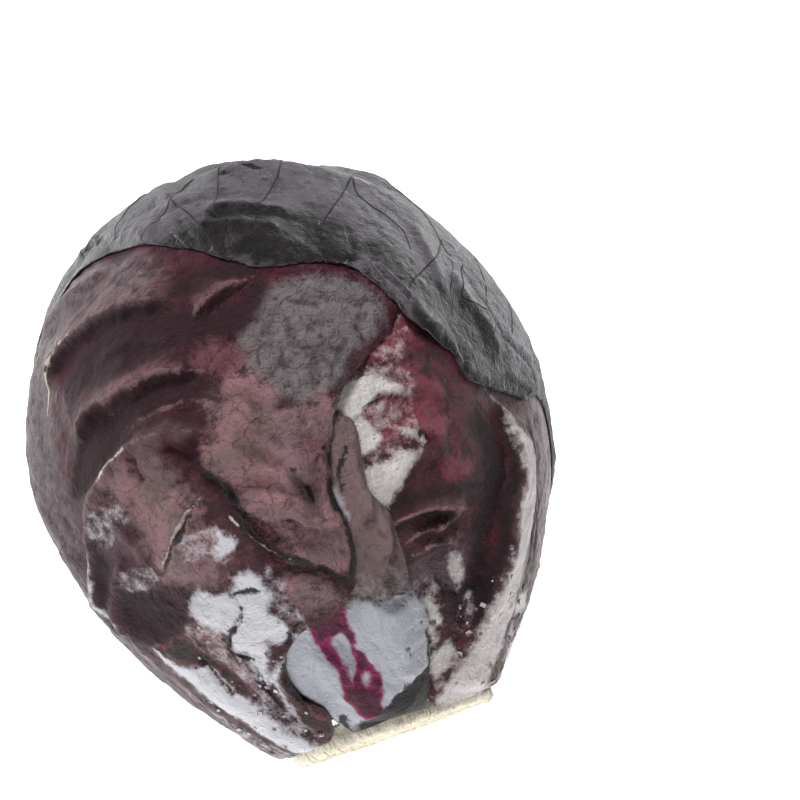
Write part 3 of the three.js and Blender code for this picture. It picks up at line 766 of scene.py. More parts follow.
RIGHT_MARKS = {
    "pale": [
        (0, [90.5, 9.5], [90, 12.5], [88.5, 16.5], [86, 19], [84.5, 18.5], [85.5, 16], [85.5, 13.5],
         [84.5, 11], [83.5, 9], [82, 6.5], [83, 2], [85.5, 1], [89, 3]),
        (0, [82, 6.5], [81.5, 8], [78.5, 10], [76.5, 10.5], [75, 8.5], [74, 6], [74, 2], [81, 2]),
        (0, [71.5, 2], [71.5, 10], [72.5, 14], [72.5, 17], [70.5, 16], [67.5, 13.5], [65, 11], [62.5, 7.5],
         [62, 2]),
        (0.8, [76.5, 15.5], [75.5, 18], [73.5, 20]),
        (0, [81.5, 43], [77.5, 46.5], [73, 47.5], [67, 49.5], [62.5, 50], [58.5, 48.5], [55, 46],
         [50.5, 46.5], [46.5, 44], [42, 40], [38, 37], [31.5, 32], [27.5, 28], [22.5, 19], [19.6, 19],
         [19.6, 52], [22, 45], [24.5, 41], [27.5, 45], [31, 47], [34.5, 48.5], [38.5, 49.5], [43, 51],
         [47, 53], [50, 55], [54, 55], [59, 56.5], [65, 56], [70, 52.5], [73, 49.5], [76, 47.5]),
        (0, [36.5, 51], [37.5, 57], [37.5, 64.5], [35.5, 67.5], [33.5, 65], [33.5, 58.5]),
        (0, [29.5, 51], [31, 50.5], [31.5, 56.5], [30, 62.5], [29, 58.5]),
        (0, [48.5, 23.5], [47, 26.5], [43, 28], [41.5, 26], [42.5, 24], [45.5, 23]),
        (0, [40.5, 11], [41, 15.5], [35.5, 19.5], [34.5, 18.5], [36, 15.5], [37.5, 13.5]),
        (0, [35.5, 13], [33, 17.5], [31, 16], [33, 13]),
        (0, [30, 14], [30, 19], [31, 23], [28, 25], [26.5, 23], [25.5, 18.5], [25.5, 14]),
        (0.5, [38, 28.5], [38, 31], [35, 31]),
    ],
    "flecked": [
        (0, [37, 28.5], [38, 31], [34.5, 31], [32.5, 27.5], [28, 22.5], [22.5, 18], [25, 14], [29, 15],
         [30.5, 20.5], [34, 25.5]),
        (0, [45.5, 8], [45, 15], [43.5, 18], [41.5, 17], [41.5, 8]),
        (0, [34.5, 47.5], [33, 55.5], [32.5, 62], [29, 63.5], [25.5, 62], [22.5, 61], [21, 56.5],
         [22, 44], [25, 45.5], [29, 47.5], [32.5, 48]),
        (0, [66, 8], [71, 18], [80, 20], [88, 22], [92, 16], [90, 8], [76, 4]),
        (0, [104, 20], [103, 26], [97, 25], [92, 20], [96, 14]),
    ],
    "scar": [
        (0.5, [57.8, 7.5], [58.5, 9.5], [59.7, 14.5]),
        (0.25, [59.7, 14.5], [59.7, 19], [58.7, 24.5], [57.2, 30]),
        (0.25, [55.2, 14.5], [55.2, 21], [56.2, 25.5]),
        (0.25, [50.7, 12.5], [51.7, 17.5], [51.7, 21]),
        (0.4, [96.5, 12], [95, 14.5], [92.5, 16]),
    ],
    # Painted shadow in cracks and gaps.
    "dark": [
        (0.5, [45, 18], [42, 20], [39, 20.5], [36, 22]),
        (0.6, [78, 9], [77, 9]),
        (0.4, [84, 8], [84.4, 12], [85, 15]),
        (0.35, [74, 19], [75.5, 20], [72, 22]),
        (0.4, [43, 42.5], [42.6, 43]),
        (0.4, [39.5, 44.5], [39, 45]),
        (0.4, [37.5, 46], [37, 46.4]),
        (0.35, [36, 41.5], [35.6, 42]),
        (0.3, [31, 42], [30.6, 42.5]),
        (0.5, [36, 12.4], [33, 12.4], [28, 13], [24, 13]),
        (0.6, [41, 31.5], [39, 29.5], [36, 26.5], [33, 23.5]),
        (0.4, [44, 19], [42.5, 22], [42, 25.5]),
    ],
    "stain": [
        (0, [46.5, 55.5], [45, 63], [40, 65.5], [38, 61.5], [37.5, 54], [41, 52], [44, 53.5]),
        (0.6, [30, 48], [26, 46], [22.5, 46]),
        (0.5, [27, 40], [26, 42], [24.5, 43]),
    ],
    "blush": [
        (0, [105, 18], [104, 28], [96, 27], [93, 23], [94, 15], [99, 12]),
        (0, [88, 20], [86, 27], [79, 28], [76, 24], [74, 14], [76, 9], [84, 9], [86, 15]),
        (0, [80.5, 18], [81, 22.5], [78.5, 27.5], [75, 28.5], [74, 24.5], [76, 18.5]),
        (0, [91.5, 17.5], [91.5, 21.5], [88.5, 24.5], [88, 21], [90, 18]),
        (0, [69.5, 23], [69.5, 27], [67, 30.5], [64.5, 30.5], [65, 25]),
        (1.5, [77, 12], [73, 12], [69.5, 13]),
    ],
    # Painted shade: dark patches in the hollows.
    "deep": [
        (0, [78, 39], [72, 42], [66, 44.5], [60.5, 45], [56.5, 41], [52.5, 39], [49, 36.5], [44.5, 38.5],
         [42.5, 37.5], [43, 32], [50, 31.5], [56, 33.5], [63, 36.5], [70.5, 36.5], [74.5, 35.5]),
        (0, [39.5, 22], [41, 26], [41.5, 30], [43, 34], [41, 38.5], [38, 34.5], [37.5, 27.5], [36, 23]),
        (0, [63.5, 6.5], [63.5, 18], [62.5, 34.5], [60, 34.5], [61, 20], [61, 8.5]),
    ],
    "worn": [
        (0, [50, 12.5], [51, 18], [51, 23.5], [49.5, 29.5], [46, 31], [43, 28], [41.5, 23], [44, 17],
         [46, 8]),
        (0, [69, 56.5], [61, 62.5], [53.5, 68], [46, 68.5], [46.5, 62], [53.5, 59], [61.5, 58]),
    ],
}
print(len(RIGHT_FOLDS), "folds and creases,", len(RIGHT_TEARS), "tears on the right leaf")

# %% [markdown]
# ## The front leaf
# Only its foot lies open: a broad smooth stalk, bare and lilac-white, with a bruise that has
# turned magenta where the juice ran. Above it the blade is a narrow brown-mauve ear that slips
# in under its neighbours.

# %% Marks on the front leaf
FRONT_FOLDS = [
    (1.6, 3.6, 3.6, [84, 4], [81, 4.5], [76, 3.5], [72, 2.5], [66, 2.5], [57.5, 2.5], [50, -1.5]),
    (1.3, 2.2, 3, [72, 5.5], [66, 3], [60, -1]),
    (1.3, 2.2, 3, [63, 8], [57, 5], [52, 0]),
    (-1.0, 1.2, 1.2, [58, 8.5], [53, 5.5], [49, 3]),
    (1.2, 2, 3, [66, 6], [60, 5], [54, 5.5], [49, 6]),
    (-0.9, 1.2, 1.2, [78.5, 2], [74.5, -0.5], [72, -1], [68, 0]),
    (-1.2, 1.6, 1.6, [47, 14], [44, 6], [44.5, 0], [46.5, -8], [46, -14]),
    (1.8, 7, 7, [43, 2], [38, 4], [33, 5], [28, 4]),
    (1.4, 5, 5, [42, -25], [38, -25], [31, -24], [26, -22]),
    (-1.4, 3, 3, [43, -14], [38, -14], [32, -13], [28, -12]),
    (-1.6, 4, 4, [39, -33], [33, -32], [27, -30]),
    (0.9, 1.6, 1.6, [53, 2], [50, 6], [47, 8]),
]
FRONT_TEARS = [
    (1.4, 3, [47, -14], [46.5, -8], [45, -2], [45, 5], [42.5, 11]),
]
FRONT_MARKS = {
    "pale": [
        (0, [46.5, -17], [45.5, -10], [46, -6], [44.8, 0], [44.8, 4.5], [43, 10], [38, 14], [26.5, 14.5],
         [26.8, 3.5], [26.3, -1.5], [24.5, -6.5], [23, -14], [21, -28], [22, -34], [31, -38], [40, -38],
         [45, -30]),
        # A painted glint along the gap by the left leaf.
        (0.5, [70, -3.4], [67, -2.8], [63, -2.4]),
    ],
    "flecked": [
        (0, [52, -6], [51, 0], [49, 8], [44, 12], [44, -4], [46, -10]),
    ],
    # Painted shadow in the gaps beside the ear and under the stalk, and in cracks, partly dark torn tissue.
    "dark": [
        (0.5, [77, 1.5], [74.5, -0.2], [72, -1.4], [69, -1.4]),
        (0.4, [46, -5.5], [45, 0], [45, 5], [43, 9.5]),
        (0, [23.5, -20], [24, -13.5], [25, -8], [26.8, -4], [28, -0.5], [28.6, 3.5], [29, 8.5], [28.6, 16],
         [18, 16], [18, -8], [18, -24], [21.5, -22.5]),
        (0.8, [36, 11.8], [34.5, 12.8], [29.5, 13.5], [26.5, 13.5]),
        (0, [24.5, -30.5], [24.2, -26.8], [22.5, -26.5], [20.5, -30], [21.5, -33]),
        (1.0, [79, -3.5], [76, -4.5], [70.5, -4.5], [67, -4.5], [63.5, -3.5], [60, -3], [56, -4], [52, -6]),
        (0.2, [34.5, 3], [35.2, 4], [33.5, 4.6], [34, 6]),
        (0.25, [38, 10.5], [37.4, 11]),
    ],
    "stain": [
        (0, [46, -21.3], [46, -11], [42.5, -11], [39.5, -10], [37, -11], [36, -9.6], [34.5, -8.6], [33, -7.2],
         [31.5, -6.3], [29.5, -6.8], [28, -7.7], [26, -9], [24.3, -10], [23.5, -14], [23.8, -18],
         [25, -20.5], [28, -22], [31, -21], [33.5, -19.8], [35.5, -21.6], [39.5, -22.3], [43.5, -21.8]),
    ],
    "clear": [
        (0, [40.8, -17.5], [41.2, -14.5], [40, -12.5], [38, -11.6], [35, -12.5], [32.5, -14], [31, -15.5],
         [31, -17], [32.5, -17.8], [34.5, -17.8], [37, -18.2], [39, -19]),
        (0, [33.2, -11.6], [32.6, -9.8], [31, -10], [29.3, -11], [29, -13], [30.5, -14.8], [32, -13.4]),
        (0.5, [37, -11.2], [34.5, -12.4]),
    ],
    "blush": [
        (1.4, [24.5, -16], [24.6, -11], [26, -6.5], [27.8, -2.5], [28.6, 1], [29, 5]),
    ],
    "worn": [
        (0, [88, 0], [85, 5], [76, 7], [68, 8], [58, 10], [48, 12], [46, 2], [47, -6], [55, -9], [62, -8],
         [76, -6]),
    ],
    # Painted shade along a hollow by the stalk's low margin.
    "deep": [
        (0.8, [38, -36], [33.5, -33.5], [29, -32.5], [26, -31]),
        (0.2, [29, -31], [26.5, -28], [25, -24]),
    ],
}
print(len(FRONT_FOLDS), "folds and creases on the front leaf")

# %% [markdown]
# ## The crown leaf
# The outermost leaf comes up from behind, over the crown and down to a ragged margin on the
# upper side. It keeps its grey bloom, except in three patches that are left bare as painted
# shade. Dark thin veins run through it, and it is wrinkled across where it bends over the crown.

# %% Marks on the crown leaf
CROWN_VEINS = [
    [[158, 46], [150, 26], [144, 16.5], [135.5, 5], [128, 0]],
    [[158, 8], [152.5, -0.5], [145.5, -4], [140, -6.5], [132, -8]],
    [[158, -12], [151.5, -19.5], [146, -21], [140, -25.5], [137, -31]],
    [[146, -20.5], [141, -17], [136.5, -14], [129, -11]],
    [[163, -50], [157.5, -51], [151.5, -49.5], [143, -43.5]],
    [[170, -50], [164.5, -61], [159.5, -63], [154, -72]],
    [[142, 50], [135.5, 33.5], [131.5, 25.5], [127.5, 19], [119, 12]],
    [[140, 44], [133.5, 37.5], [127, 40.5], [122, 41.5], [116, 38]],
    [[120, 60], [114, 46.5], [110, 36.5], [107, 30], [102.5, 26.5]],
    [[112, 58], [103.5, 45.5], [99.5, 49.5], [97, 54.5], [92, 48]],
    [[152, -84], [146, -72], [142, -66]],
]
CROWN_FOLDS = [
    (1.3, 3, 2.2, [137.5, -12], [137, -3.5], [135, 5], [131, 14.5]),
    (1.1, 3, 2.2, [134.5, -15], [133.5, -9.5], [130.5, -0.5], [127, 8.5]),
    (1.2, 4, 3, [143.5, -42], [142.5, -37.5], [139, -30.5], [138.5, -24.5]),
    (1.0, 4, 3, [154, -42], [153.5, -37.5], [152, -28.5], [150, -20]),
    (0.9, 4, 3, [128, -8], [126, 2], [123, 11]),
    (-0.9, 2.5, 2.5, [142, -28], [143, -14], [142, 0], [139, 12]),
    (-0.8, 2.0, 2.0, [136, -12], [135.5, -4], [133, 6], [130, 14]),
    (1.8, 1.6, 1.2, [116, 21.5], [114, 22.5], [110, 23.5], [106, 25], [102, 26.5], [99, 27.5]),
    (1.0, 1.0, 1.0, [114, 24.5], [110.5, 25.8], [106.5, 27.5], [103, 28.5]),
    (1.8, 3, 2.2, [104, 27.5], [102, 28.5], [98.5, 30], [94.5, 33]),
    (-1.3, 4, 4, [104, 36.5], [100, 37.5], [95.5, 39], [90.5, 39.5], [88, 40.5]),
    (1.5, 5, 4, [112, 48], [103, 47], [99, 48.5], [92.5, 49.5], [87, 52]),
    (1.2, 5, 4, [126, 50], [116, 44], [108, 41], [101, 42]),
    (1.4, 6, 6, [156, -14], [150, 24], [138, 46], [120, 58]),
    (1.2, 7, 6, [168, -60], [168, 60], [154, 78], [132, 72]),
    (1.4, 3, 2.4, [146, -80], [149, -74], [150, -68], [146, -58]),
    (-1.2, 1.4, 1.4, [114, 56], [101, 54], [95, 55], [89.5, 58.5], [85, 64], [79, 63], [70, 65]),
]
CROWN_MARKS = {
    "scar": [
        (0.35, [125, 36], [121.5, 34], [119.5, 31]),
        (0.35, [145.2, -20.8], [144.8, -20.2]),
        (0.5, [99.8, 31], [99.2, 32]),
    ],
    # Painted shadow under the lifted margin and in cracks, and a darker curled flap.
    "dark": [
        (0.7, [151.4, -1.5], [151.2, 2], [151, 6]),
        (0.5, [152, 9.5], [150.5, 12], [148.5, 14.5]),
        (0.5, [152, 24.5], [150.5, 27.5], [148.5, 31]),
        (0, [150, -77.5], [151, -68], [147, -54], [141, -45], [139.5, -45.5], [143.5, -59]),
        (0, [82, 46.5], [83.8, 50.5], [82.2, 55.5], [79, 61], [76.6, 59], [78.5, 53], [80.6, 49]),
        (0.35, [114, 22.2], [110, 23], [105, 24.6], [100, 26]),
        (0.3, [103, 54], [96, 54], [89.5, 58], [84, 63.5], [76, 65]),
    ],
    "pale": [
        (1.5, [100, 57], [92, 60], [86, 66], [78, 69], [66, 68]),
    ],
}
# Patches where the crown leaf is painted without bloom, so darker: painted shade.
CROWN_SHADED = [
    ([134, -25], [134, -12.5], [137, -5.5], [131.5, 14.5], [125, 25], [117.5, 23], [116.5, 13.5],
     [120.5, 0.5], [126, -10.5], [130.5, -20.5]),
    ([107, 32], [104, 44], [96, 52], [86, 54], [80, 46], [85.5, 34.5], [92.5, 32], [98, 29]),
    ([118.5, 24.5], [113, 26.5], [106.5, 28], [102.5, 31], [109.5, 33], [117, 32.5], [120.5, 30.5]),
]
print(len(CROWN_VEINS), "named veins on the crown leaf")

# %% [markdown]
# ## Finishes
# A fresh leaf of red cabbage is a thin dark wine-coloured skin under a bloom of wax. The wax
# scatters light, so the leaf looks grey and matt where it is whole, and dark, red and glossy
# where it has been rubbed off. One small function adds a node with its settings and links.
# Colours are given as on screen and turned to linear light.

# %% Colour and node helpers


def paint(code):
    """A linear colour from an sRGB hex code."""
    parts = [int(code[i : i + 2], 16) / 255 for i in (0, 2, 4)]
    return (*[p / 12.92 if p <= 0.04045 else ((p + 0.055) / 1.055) ** 2.4 for p in parts], 1.0)


def add(tree, kind, inputs=(), **settings):
    """A new node. Inputs are numbers, colours or other nodes' outputs."""
    node = tree.nodes.new(kind)
    for key, value in settings.items():
        setattr(node, key, value)
    for key, value in dict(inputs).items():
        if isinstance(value, bpy.types.NodeSocket):
            tree.links.new(value, node.inputs[key])
        else:
            node.inputs[key].default_value = value
    return node


def new_finish(name):
    """An empty material, its node tree and its surface's coordinates in millimetres."""
    finish = bpy.data.materials.new(name)
    finish.use_nodes = True
    tree = finish.node_tree
    tree.nodes.clear()
    place = add(tree, "ShaderNodeTexCoord").outputs["Object"]
    mm = add(tree, "ShaderNodeVectorMath", {0: place, "Scale": 1000.0}, operation="SCALE")
    return finish, tree, mm.outputs[0]


print("wine, as linear light:", [round(part, 3) for part in paint("4a1f2f")])

# %% [markdown]
# ### Patterns in a leaf's skin
# A waxy leaf is uneven at several sizes at once. Broad clouds are 16 mm across, mottling 4 mm and
# grain 0.8 mm, which is drawn coarser than the real 0.1 mm wax so that it shows. Streaks follow
# the leaf, 1 mm wide and 14 mm long, and a net of wrinkles has cells of 7 mm.

# %% Skin patterns
CLOUDS_MM = 16
MOTTLE_MM = 4
GRAIN_MM = 0.8
STREAK_MM = (1.0, 14)
CELLS_MM = 7
BEND_MM = (6, 7.0)  # the wrinkles wander in waves this long and this wide


def skin_patterns(tree, mm):
    """Clouds, mottle and grain, streaks that follow the leaf, and a net of fine wrinkles."""
    seen = {}
    for key, size, detail in (("clouds", CLOUDS_MM, 4), ("mottle", MOTTLE_MM, 8), ("grain", GRAIN_MM, 3)):
        sizes = {"Vector": mm, "Scale": 1 / size, "Detail": detail, "Roughness": 0.65}
        seen[key] = add(tree, "ShaderNodeTexNoise", sizes).outputs["Fac"]
    on_leaf = add(tree, "ShaderNodeAttribute", attribute_name="on_leaf").outputs["Vector"]
    drawn = {"Vector": on_leaf, "Scale": (1 / STREAK_MM[0], 1 / STREAK_MM[1], 1)}
    drawn = add(tree, "ShaderNodeMapping", drawn).outputs[0]
    sizes = {"Vector": drawn, "Scale": 1, "Detail": 5}
    seen["streak"] = add(tree, "ShaderNodeTexNoise", sizes).outputs["Fac"]
    sizes = {"Vector": mm, "Scale": 1 / BEND_MM[0], "Detail": 3}
    bend = add(tree, "ShaderNodeTexNoise", sizes).outputs["Color"]
    bend = add(tree, "ShaderNodeVectorMath", {0: bend, "Scale": BEND_MM[1]}, operation="SCALE").outputs[0]
    bent = add(tree, "ShaderNodeVectorMath", {0: mm, 1: bend}, operation="ADD").outputs[0]
    cells = {"Vector": bent, "Scale": 1 / CELLS_MM}
    cells = add(tree, "ShaderNodeTexVoronoi", cells, feature="DISTANCE_TO_EDGE").outputs["Distance"]
    seen["wrinkle"] = cells
    return seen


print("patterns in the skin, mm across:", [CLOUDS_MM, CELLS_MM, MOTTLE_MM, GRAIN_MM])

# %% [markdown]
# ### The skin, layer by layer
# The skin could be one colour per leaf with noise on top. Instead each cause of colour is a
# layer of its own, from the wine-coloured flesh up to the torn cream edges, so that any leaf can
# be made by choosing the layers' colours. Some layers are painted light and shade: highlights on
# crests, ridges and grain, and shade in hollows, pits, wrinkles and cracks. The same patterns
# fray the blade's marks, so that colour and border belong together.

# %% Leaf skin
SKIN_RELIEF = 0.0022  # metres


def weighed(tree, parts, total):
    """The weighted sum of some patterns and a first term."""
    for pattern, weight in parts:
        sums = {0: pattern, 1: weight, 2: total}
        total = add(tree, "ShaderNodeMath", sums, operation="MULTIPLY_ADD").outputs[0]
    return total


def leaf_skin(name, colours, gloss, frayed, soft, netted, dusty):
    """A finish from its colours. Frayed is how torn the patches' borders are, soft how wide."""
    finish, tree, mm = new_finish(name)
    tint = {key: paint(code) for key, code in colours.items()}
    seen = skin_patterns(tree, mm)
    mixed = (seen["mottle"], 11.0), (seen["clouds"], 4.0), (seen["grain"], 4.0), (seen["streak"], 2.0)
    fray = weighed(tree, mixed, -10.5)

    def amount(source, fraying, low, high, most):
        """How much of a layer shows: a pattern or a mark, frayed, and raised from low to high."""
        if isinstance(source, str):
            source = add(tree, "ShaderNodeAttribute", attribute_name=source).outputs["Fac"]
        ramp = {"Value": weighed(tree, [(fray, fraying)] if fraying else [], source)}
        ramp |= {"From Min": low, "From Max": high, "To Max": most}
        return add(tree, "ShaderNodeMapRange", ramp, interpolation_type="SMOOTHSTEP").outputs[0]

    # Blended colours: the first and the second colour, and what leads from one to the other.
    blends = {
        "flesh": ("under", "wine", seen["mottle"], 0, 0.36, 0.64, 1.0),
        "thin": ("worn", "faded", seen["clouds"], 0, 0.4, 0.65, 1.0),
        "bare": ("tissue", "shade", seen["streak"], 0, 0.3, 0.7, 0.6),
        "juice": ("stain", "core", "stain", 0.6, 0.3, 1.6, 1.0),
    }
    for key, (one, other, *where) in blends.items():
        tints = {0: amount(*where), 6: tint[one], 7: tint[other]}
        tint[key] = add(tree, "ShaderNodeMix", tints, data_type="RGBA").outputs[2]
    # Layers from the flesh up: the colour, the source, how far it is frayed, low, high and most.
    layers = {
        "bloom": ("bloom", "bloom", 0.13, 0.1, 0.9, 1.0),
        "worn": ("thin", "worn", 1.0, -4.0, 3.0, 0.9),
        # Painted shade: the deep colour on the hollows under folds, between puffed cells and on the deep
        # patches.
        "deep": ("deep", "deep", 0.8, -3.0, 2.5, 0.95),
        "blush": ("blush", "blush", 0.9, -2.5, 2.5, 0.8),
        # Painted light and shade on the relief, in the next seven layers: raised parts, glints on the grain
        # and crest lines are painted lighter as highlights, and low parts, pits, low spots of the mottle and
        # the wrinkle net are painted darker as shade.
        "ridge_highlight": ("crest", "relief", 0.3, 1.0, 3.4, 0.3),
        "valley_shade": ("under", "relief", 0.3, -0.3, -1.9, 0.5),
        "grain_glints": ("crest", seen["grain"], 0, 0.6, 0.74, 0.15),
        "pit_shade": ("under", seen["grain"], 0, 0.44, 0.3, 0.5),
        "hollows": ("under", seen["mottle"], 0, 0.46, 0.36, 0.4),
        "wrinkles": ("under", seen["wrinkle"], 0, 0.05, 0.0, netted),
        "crests": ("crest", "crest", 0.4, -0.4, 0.4, 0.6),
        "pale": ("bare", "pale", frayed, -soft, soft, 1.0),
        "stain": ("juice", "stain", frayed * 0.6, -0.7, 0.7, 1.0),
        # Painted shadow: the dark marks in cracks, tears, slits and gaps, partly dark torn tissue.
        "dark": ("torn", "dark", 0.45, -0.5, 0.5, 0.95),
        "scar": ("scar", "scar", 0.12, -0.15, 0.25, 1.0),
    }
    share, colour = {}, tint["flesh"]
    for key, (layer, *where) in layers.items():
        share[key] = amount(*where)
        tints = {0: share[key], 6: colour, 7: tint[layer]}
        colour = add(tree, "ShaderNodeMix", tints, data_type="RGBA").outputs[2]
    dull = weighed(tree, [(share["bloom"], 0.15), (share["pale"], 0.1), (share["deep"], 0.4)], gloss)
    relief = [(seen["mottle"], 1.0), (seen["grain"], 0.3), (seen["streak"], 0.08), (share["wrinkles"], -0.3)]
    height = {"Height": weighed(tree, relief, 0.0), "Distance": SKIN_RELIEF, "Strength": 1.0}
    bump = add(tree, "ShaderNodeBump", height).outputs["Normal"]
    surface = {"Base Color": colour, "Roughness": dull, "IOR": 1.4, "Normal": bump}
    surface |= {"Specular IOR Level": 0.5, "Sheen Weight": dusty, "Sheen Roughness": 0.15}
    skin = add(tree, "ShaderNodeBsdfPrincipled", surface).outputs[0]
    add(tree, "ShaderNodeOutputMaterial", {"Surface": skin})
    return finish


print("the skin reads from its blade: bloom, relief, crest and the marks but flecked and clear")

# %% [markdown]
# ### Four leaf finishes
# Every wrapper leaf is the same waxy leaf, in one of four states: whole, rubbed, torn open, or
# peeled down to the stalk. The states differ in the layers' colours, in gloss and in how torn the
# borders of the marks are.

# %% Four finishes
# In each finish the crest colour is painted highlight and the deep colour painted shade; the under colour is
# the flesh's darker tone and also painted shade on low relief, and the torn colour is painted shadow in
# cracks and gaps, partly dark torn tissue.
# Whole grey bloom over dark wine, which keeps the leaf matt.
BLOOMED = leaf_skin(
    "red_cabbage_leaf_with_grey_bloom",
    {
        "wine": "211a1f", "under": "130f12", "deep": "242025", "bloom": "625d64", "crest": "706b72",
        "blush": "4a3a42", "worn": "5a545a", "faded": "4a3a42", "tissue": "a5a1a8", "shade": "8c868e",
        "stain": "3a2c2e", "core": "241c1e", "torn": "120e0e", "scar": "b9a996",
    },
    gloss=0.34, frayed=0.5, soft=2.0, netted=0.0, dusty=1.0,
)
# Bloom half rubbed off a wine-red blade, which leaves it glossy, with crests painted paler as a highlight.
RUBBED = leaf_skin(
    "red_cabbage_leaf_rubbed",
    {
        "wine": "541f2e", "under": "320d1a", "deep": "260913", "bloom": "7a7274", "crest": "86696e",
        "blush": "7a4c53", "worn": "806868", "faded": "a87c81", "tissue": "eeecf3", "shade": "dad8e0",
        "stain": "6b3b3e", "core": "3c2c2c", "torn": "1a1211", "scar": "dccdbb",
    },
    gloss=0.28, frayed=0.5, soft=1.5, netted=0.3, dusty=0.02,
)
# The inside of a torn blade: cream flesh under a broken burgundy layer.
TORN = leaf_skin(
    "red_cabbage_leaf_torn_open",
    {
        "wine": "5c1c2b", "under": "300b17", "deep": "1e0910", "bloom": "231a1d", "crest": "96747a",
        "blush": "8a3e4c", "worn": "5f4a54", "faded": "7c6068", "tissue": "e8e2e2", "shade": "d2c4c4",
        "stain": "665345", "core": "42322c", "torn": "1a1211", "scar": "9c7276",
    },
    gloss=0.28, frayed=0.5, soft=1.4, netted=0.1, dusty=0.02,
)
# A bare stalk: smooth, wet-looking and lilac-white, with a magenta bruise.
STALK = leaf_skin(
    "red_cabbage_stalk_bare",
    {
        "wine": "5a4444", "under": "3a2c2c", "deep": "2a1d1f", "bloom": "645654", "crest": "8a7675",
        "blush": "a57f98", "worn": "7c6664", "faded": "8a6f70", "tissue": "c8c9d3", "shade": "bbbcc6",
        "stain": "94165a", "core": "501430", "torn": "1d1515", "scar": "cdbfb2",
    },
    gloss=0.32, frayed=0.3, soft=1.4, netted=0.1, dusty=0.02,
)
print("leaf skins:", [finish.name for finish in (BLOOMED, RUBBED, TORN, STALK)])

# %% [markdown]
# ## Making a blade
# A blade could be one sheet, but a real leaf has two faces and a cut edge, and a closed shell
# also keeps its thickness when it is exported. The outer face takes every point of the net. The
# inner face is out of sight, so it takes each fourth thread, and the two are sewn together round
# the rim.

# %% The blade's shell


def placed(name, data):
    """A new object in the scene that holds a mesh, a lamp or a camera."""
    holder = bpy.data.objects.new(name, data)
    bpy.context.scene.collection.objects.link(holder)
    return holder


def stored(mesh, values):
    """Keeps a number or a vector of each name on every point of the mesh."""
    for key, value in values.items():
        value = np.asarray(value, np.float32)
        kind, field = ("FLOAT", "value") if value.ndim == 1 else ("FLOAT_VECTOR", "vector")
        mesh.attributes.new(key, kind, "POINT").data.foreach_set(field, value.ravel())


def quads(index):
    """The four-sided faces of a grid of point numbers."""
    corners = [index[:-1, :-1], index[:-1, 1:], index[1:, 1:], index[1:, :-1]]
    return np.stack(corners, axis=-1).reshape(-1, 4)


def shell(name, outer, inner, shape, values, finish):
    """A closed blade from its two faces, with a number of each kind on every point."""
    rows, columns = shape
    at = np.arange(rows * columns).reshape(shape)
    kept = at[::INNER_STEP, ::INNER_STEP]
    under = rows * columns + np.arange(kept.size).reshape(kept.shape)
    faces = quads(at).tolist() + quads(under)[:, [0, 3, 2, 1]].tolist()

    def rim(index):
        parts = [index[0, :-1], index[:-1, -1], index[-1, :0:-1], index[:0:-1, 0]]
        return np.concatenate(parts).tolist()

    fine, wide = rim(at), rim(under)
    fine.append(fine[0])
    wide.append(wide[0])
    for j in range(len(wide) - 1):
        half = j * INNER_STEP + INNER_STEP // 2
        for i in range(j * INNER_STEP, (j + 1) * INNER_STEP):
            faces.append([fine[i + 1], fine[i], wide[j] if i < half else wide[j + 1]])
        faces.append([fine[half], wide[j], wide[j + 1]])
    mesh = bpy.data.meshes.new(name)
    mesh.from_pydata(laid_down(np.vstack([outer, inner[kept.ravel()]])).tolist(), [], faces)
    stored(mesh, {key: np.concatenate([value, value[kept.ravel()]]) for key, value in values.items()})
    mesh.shade_smooth()
    mesh.materials.append(finish)
    return placed(name, mesh)


print("a grid of 3 by 4 points has", len(quads(np.arange(12).reshape(3, 4))), "faces")

# %% [markdown]
# ### Height and marks on a blade
# The relief of a blade has four sources: the swells of the whole leaf, its named folds and
# tears, puffed cells between the veins, and the midrib. It fades where another leaf presses on
# it. High folds get a crest painted lighter as a highlight and a hollow painted dark as shade,
# and shade is painted between the puffed cells too. The marks are bent by the same unevenness as
# the folds, so that none of them has a straight border.

# %% Height and marks
ROOT = math.cos(math.radians(BASE))
SWELLS = [(0.5, 30, 1, 4), (0.45, 9, 2, 4), (0.14, 2.2, 3, 3)]  # height, size, seed and octaves
PUCKERS = [(0.4, 6, 4, 3)]
PUFFS = [(0.8, 11, 1), (0.4, 6, 2)]
# Folds higher than these get a crest painted as a highlight and a hollow painted as shade.
CREST_FROM = 1.7
HOLLOW_FROM = 1.2
FULL_HOLLOW = 2.4
SOFT_FLANK = 3.5  # a fold with wider flanks than this leaves no hollow
FLECKED = 0.8  # millimetres that a flecked patch stays below a fully bare one
SLIT_DEPTH = 0.6


def bent_by(points, where):
    """The points of the map, moved a little so that lines and borders wander."""
    bends = [0.7 * rough(where, 7, seed, 3) + 0.4 * rough(where, 2.2, seed + 2, 2) for seed in (21, 22)]
    return points + np.stack(bends, axis=1)


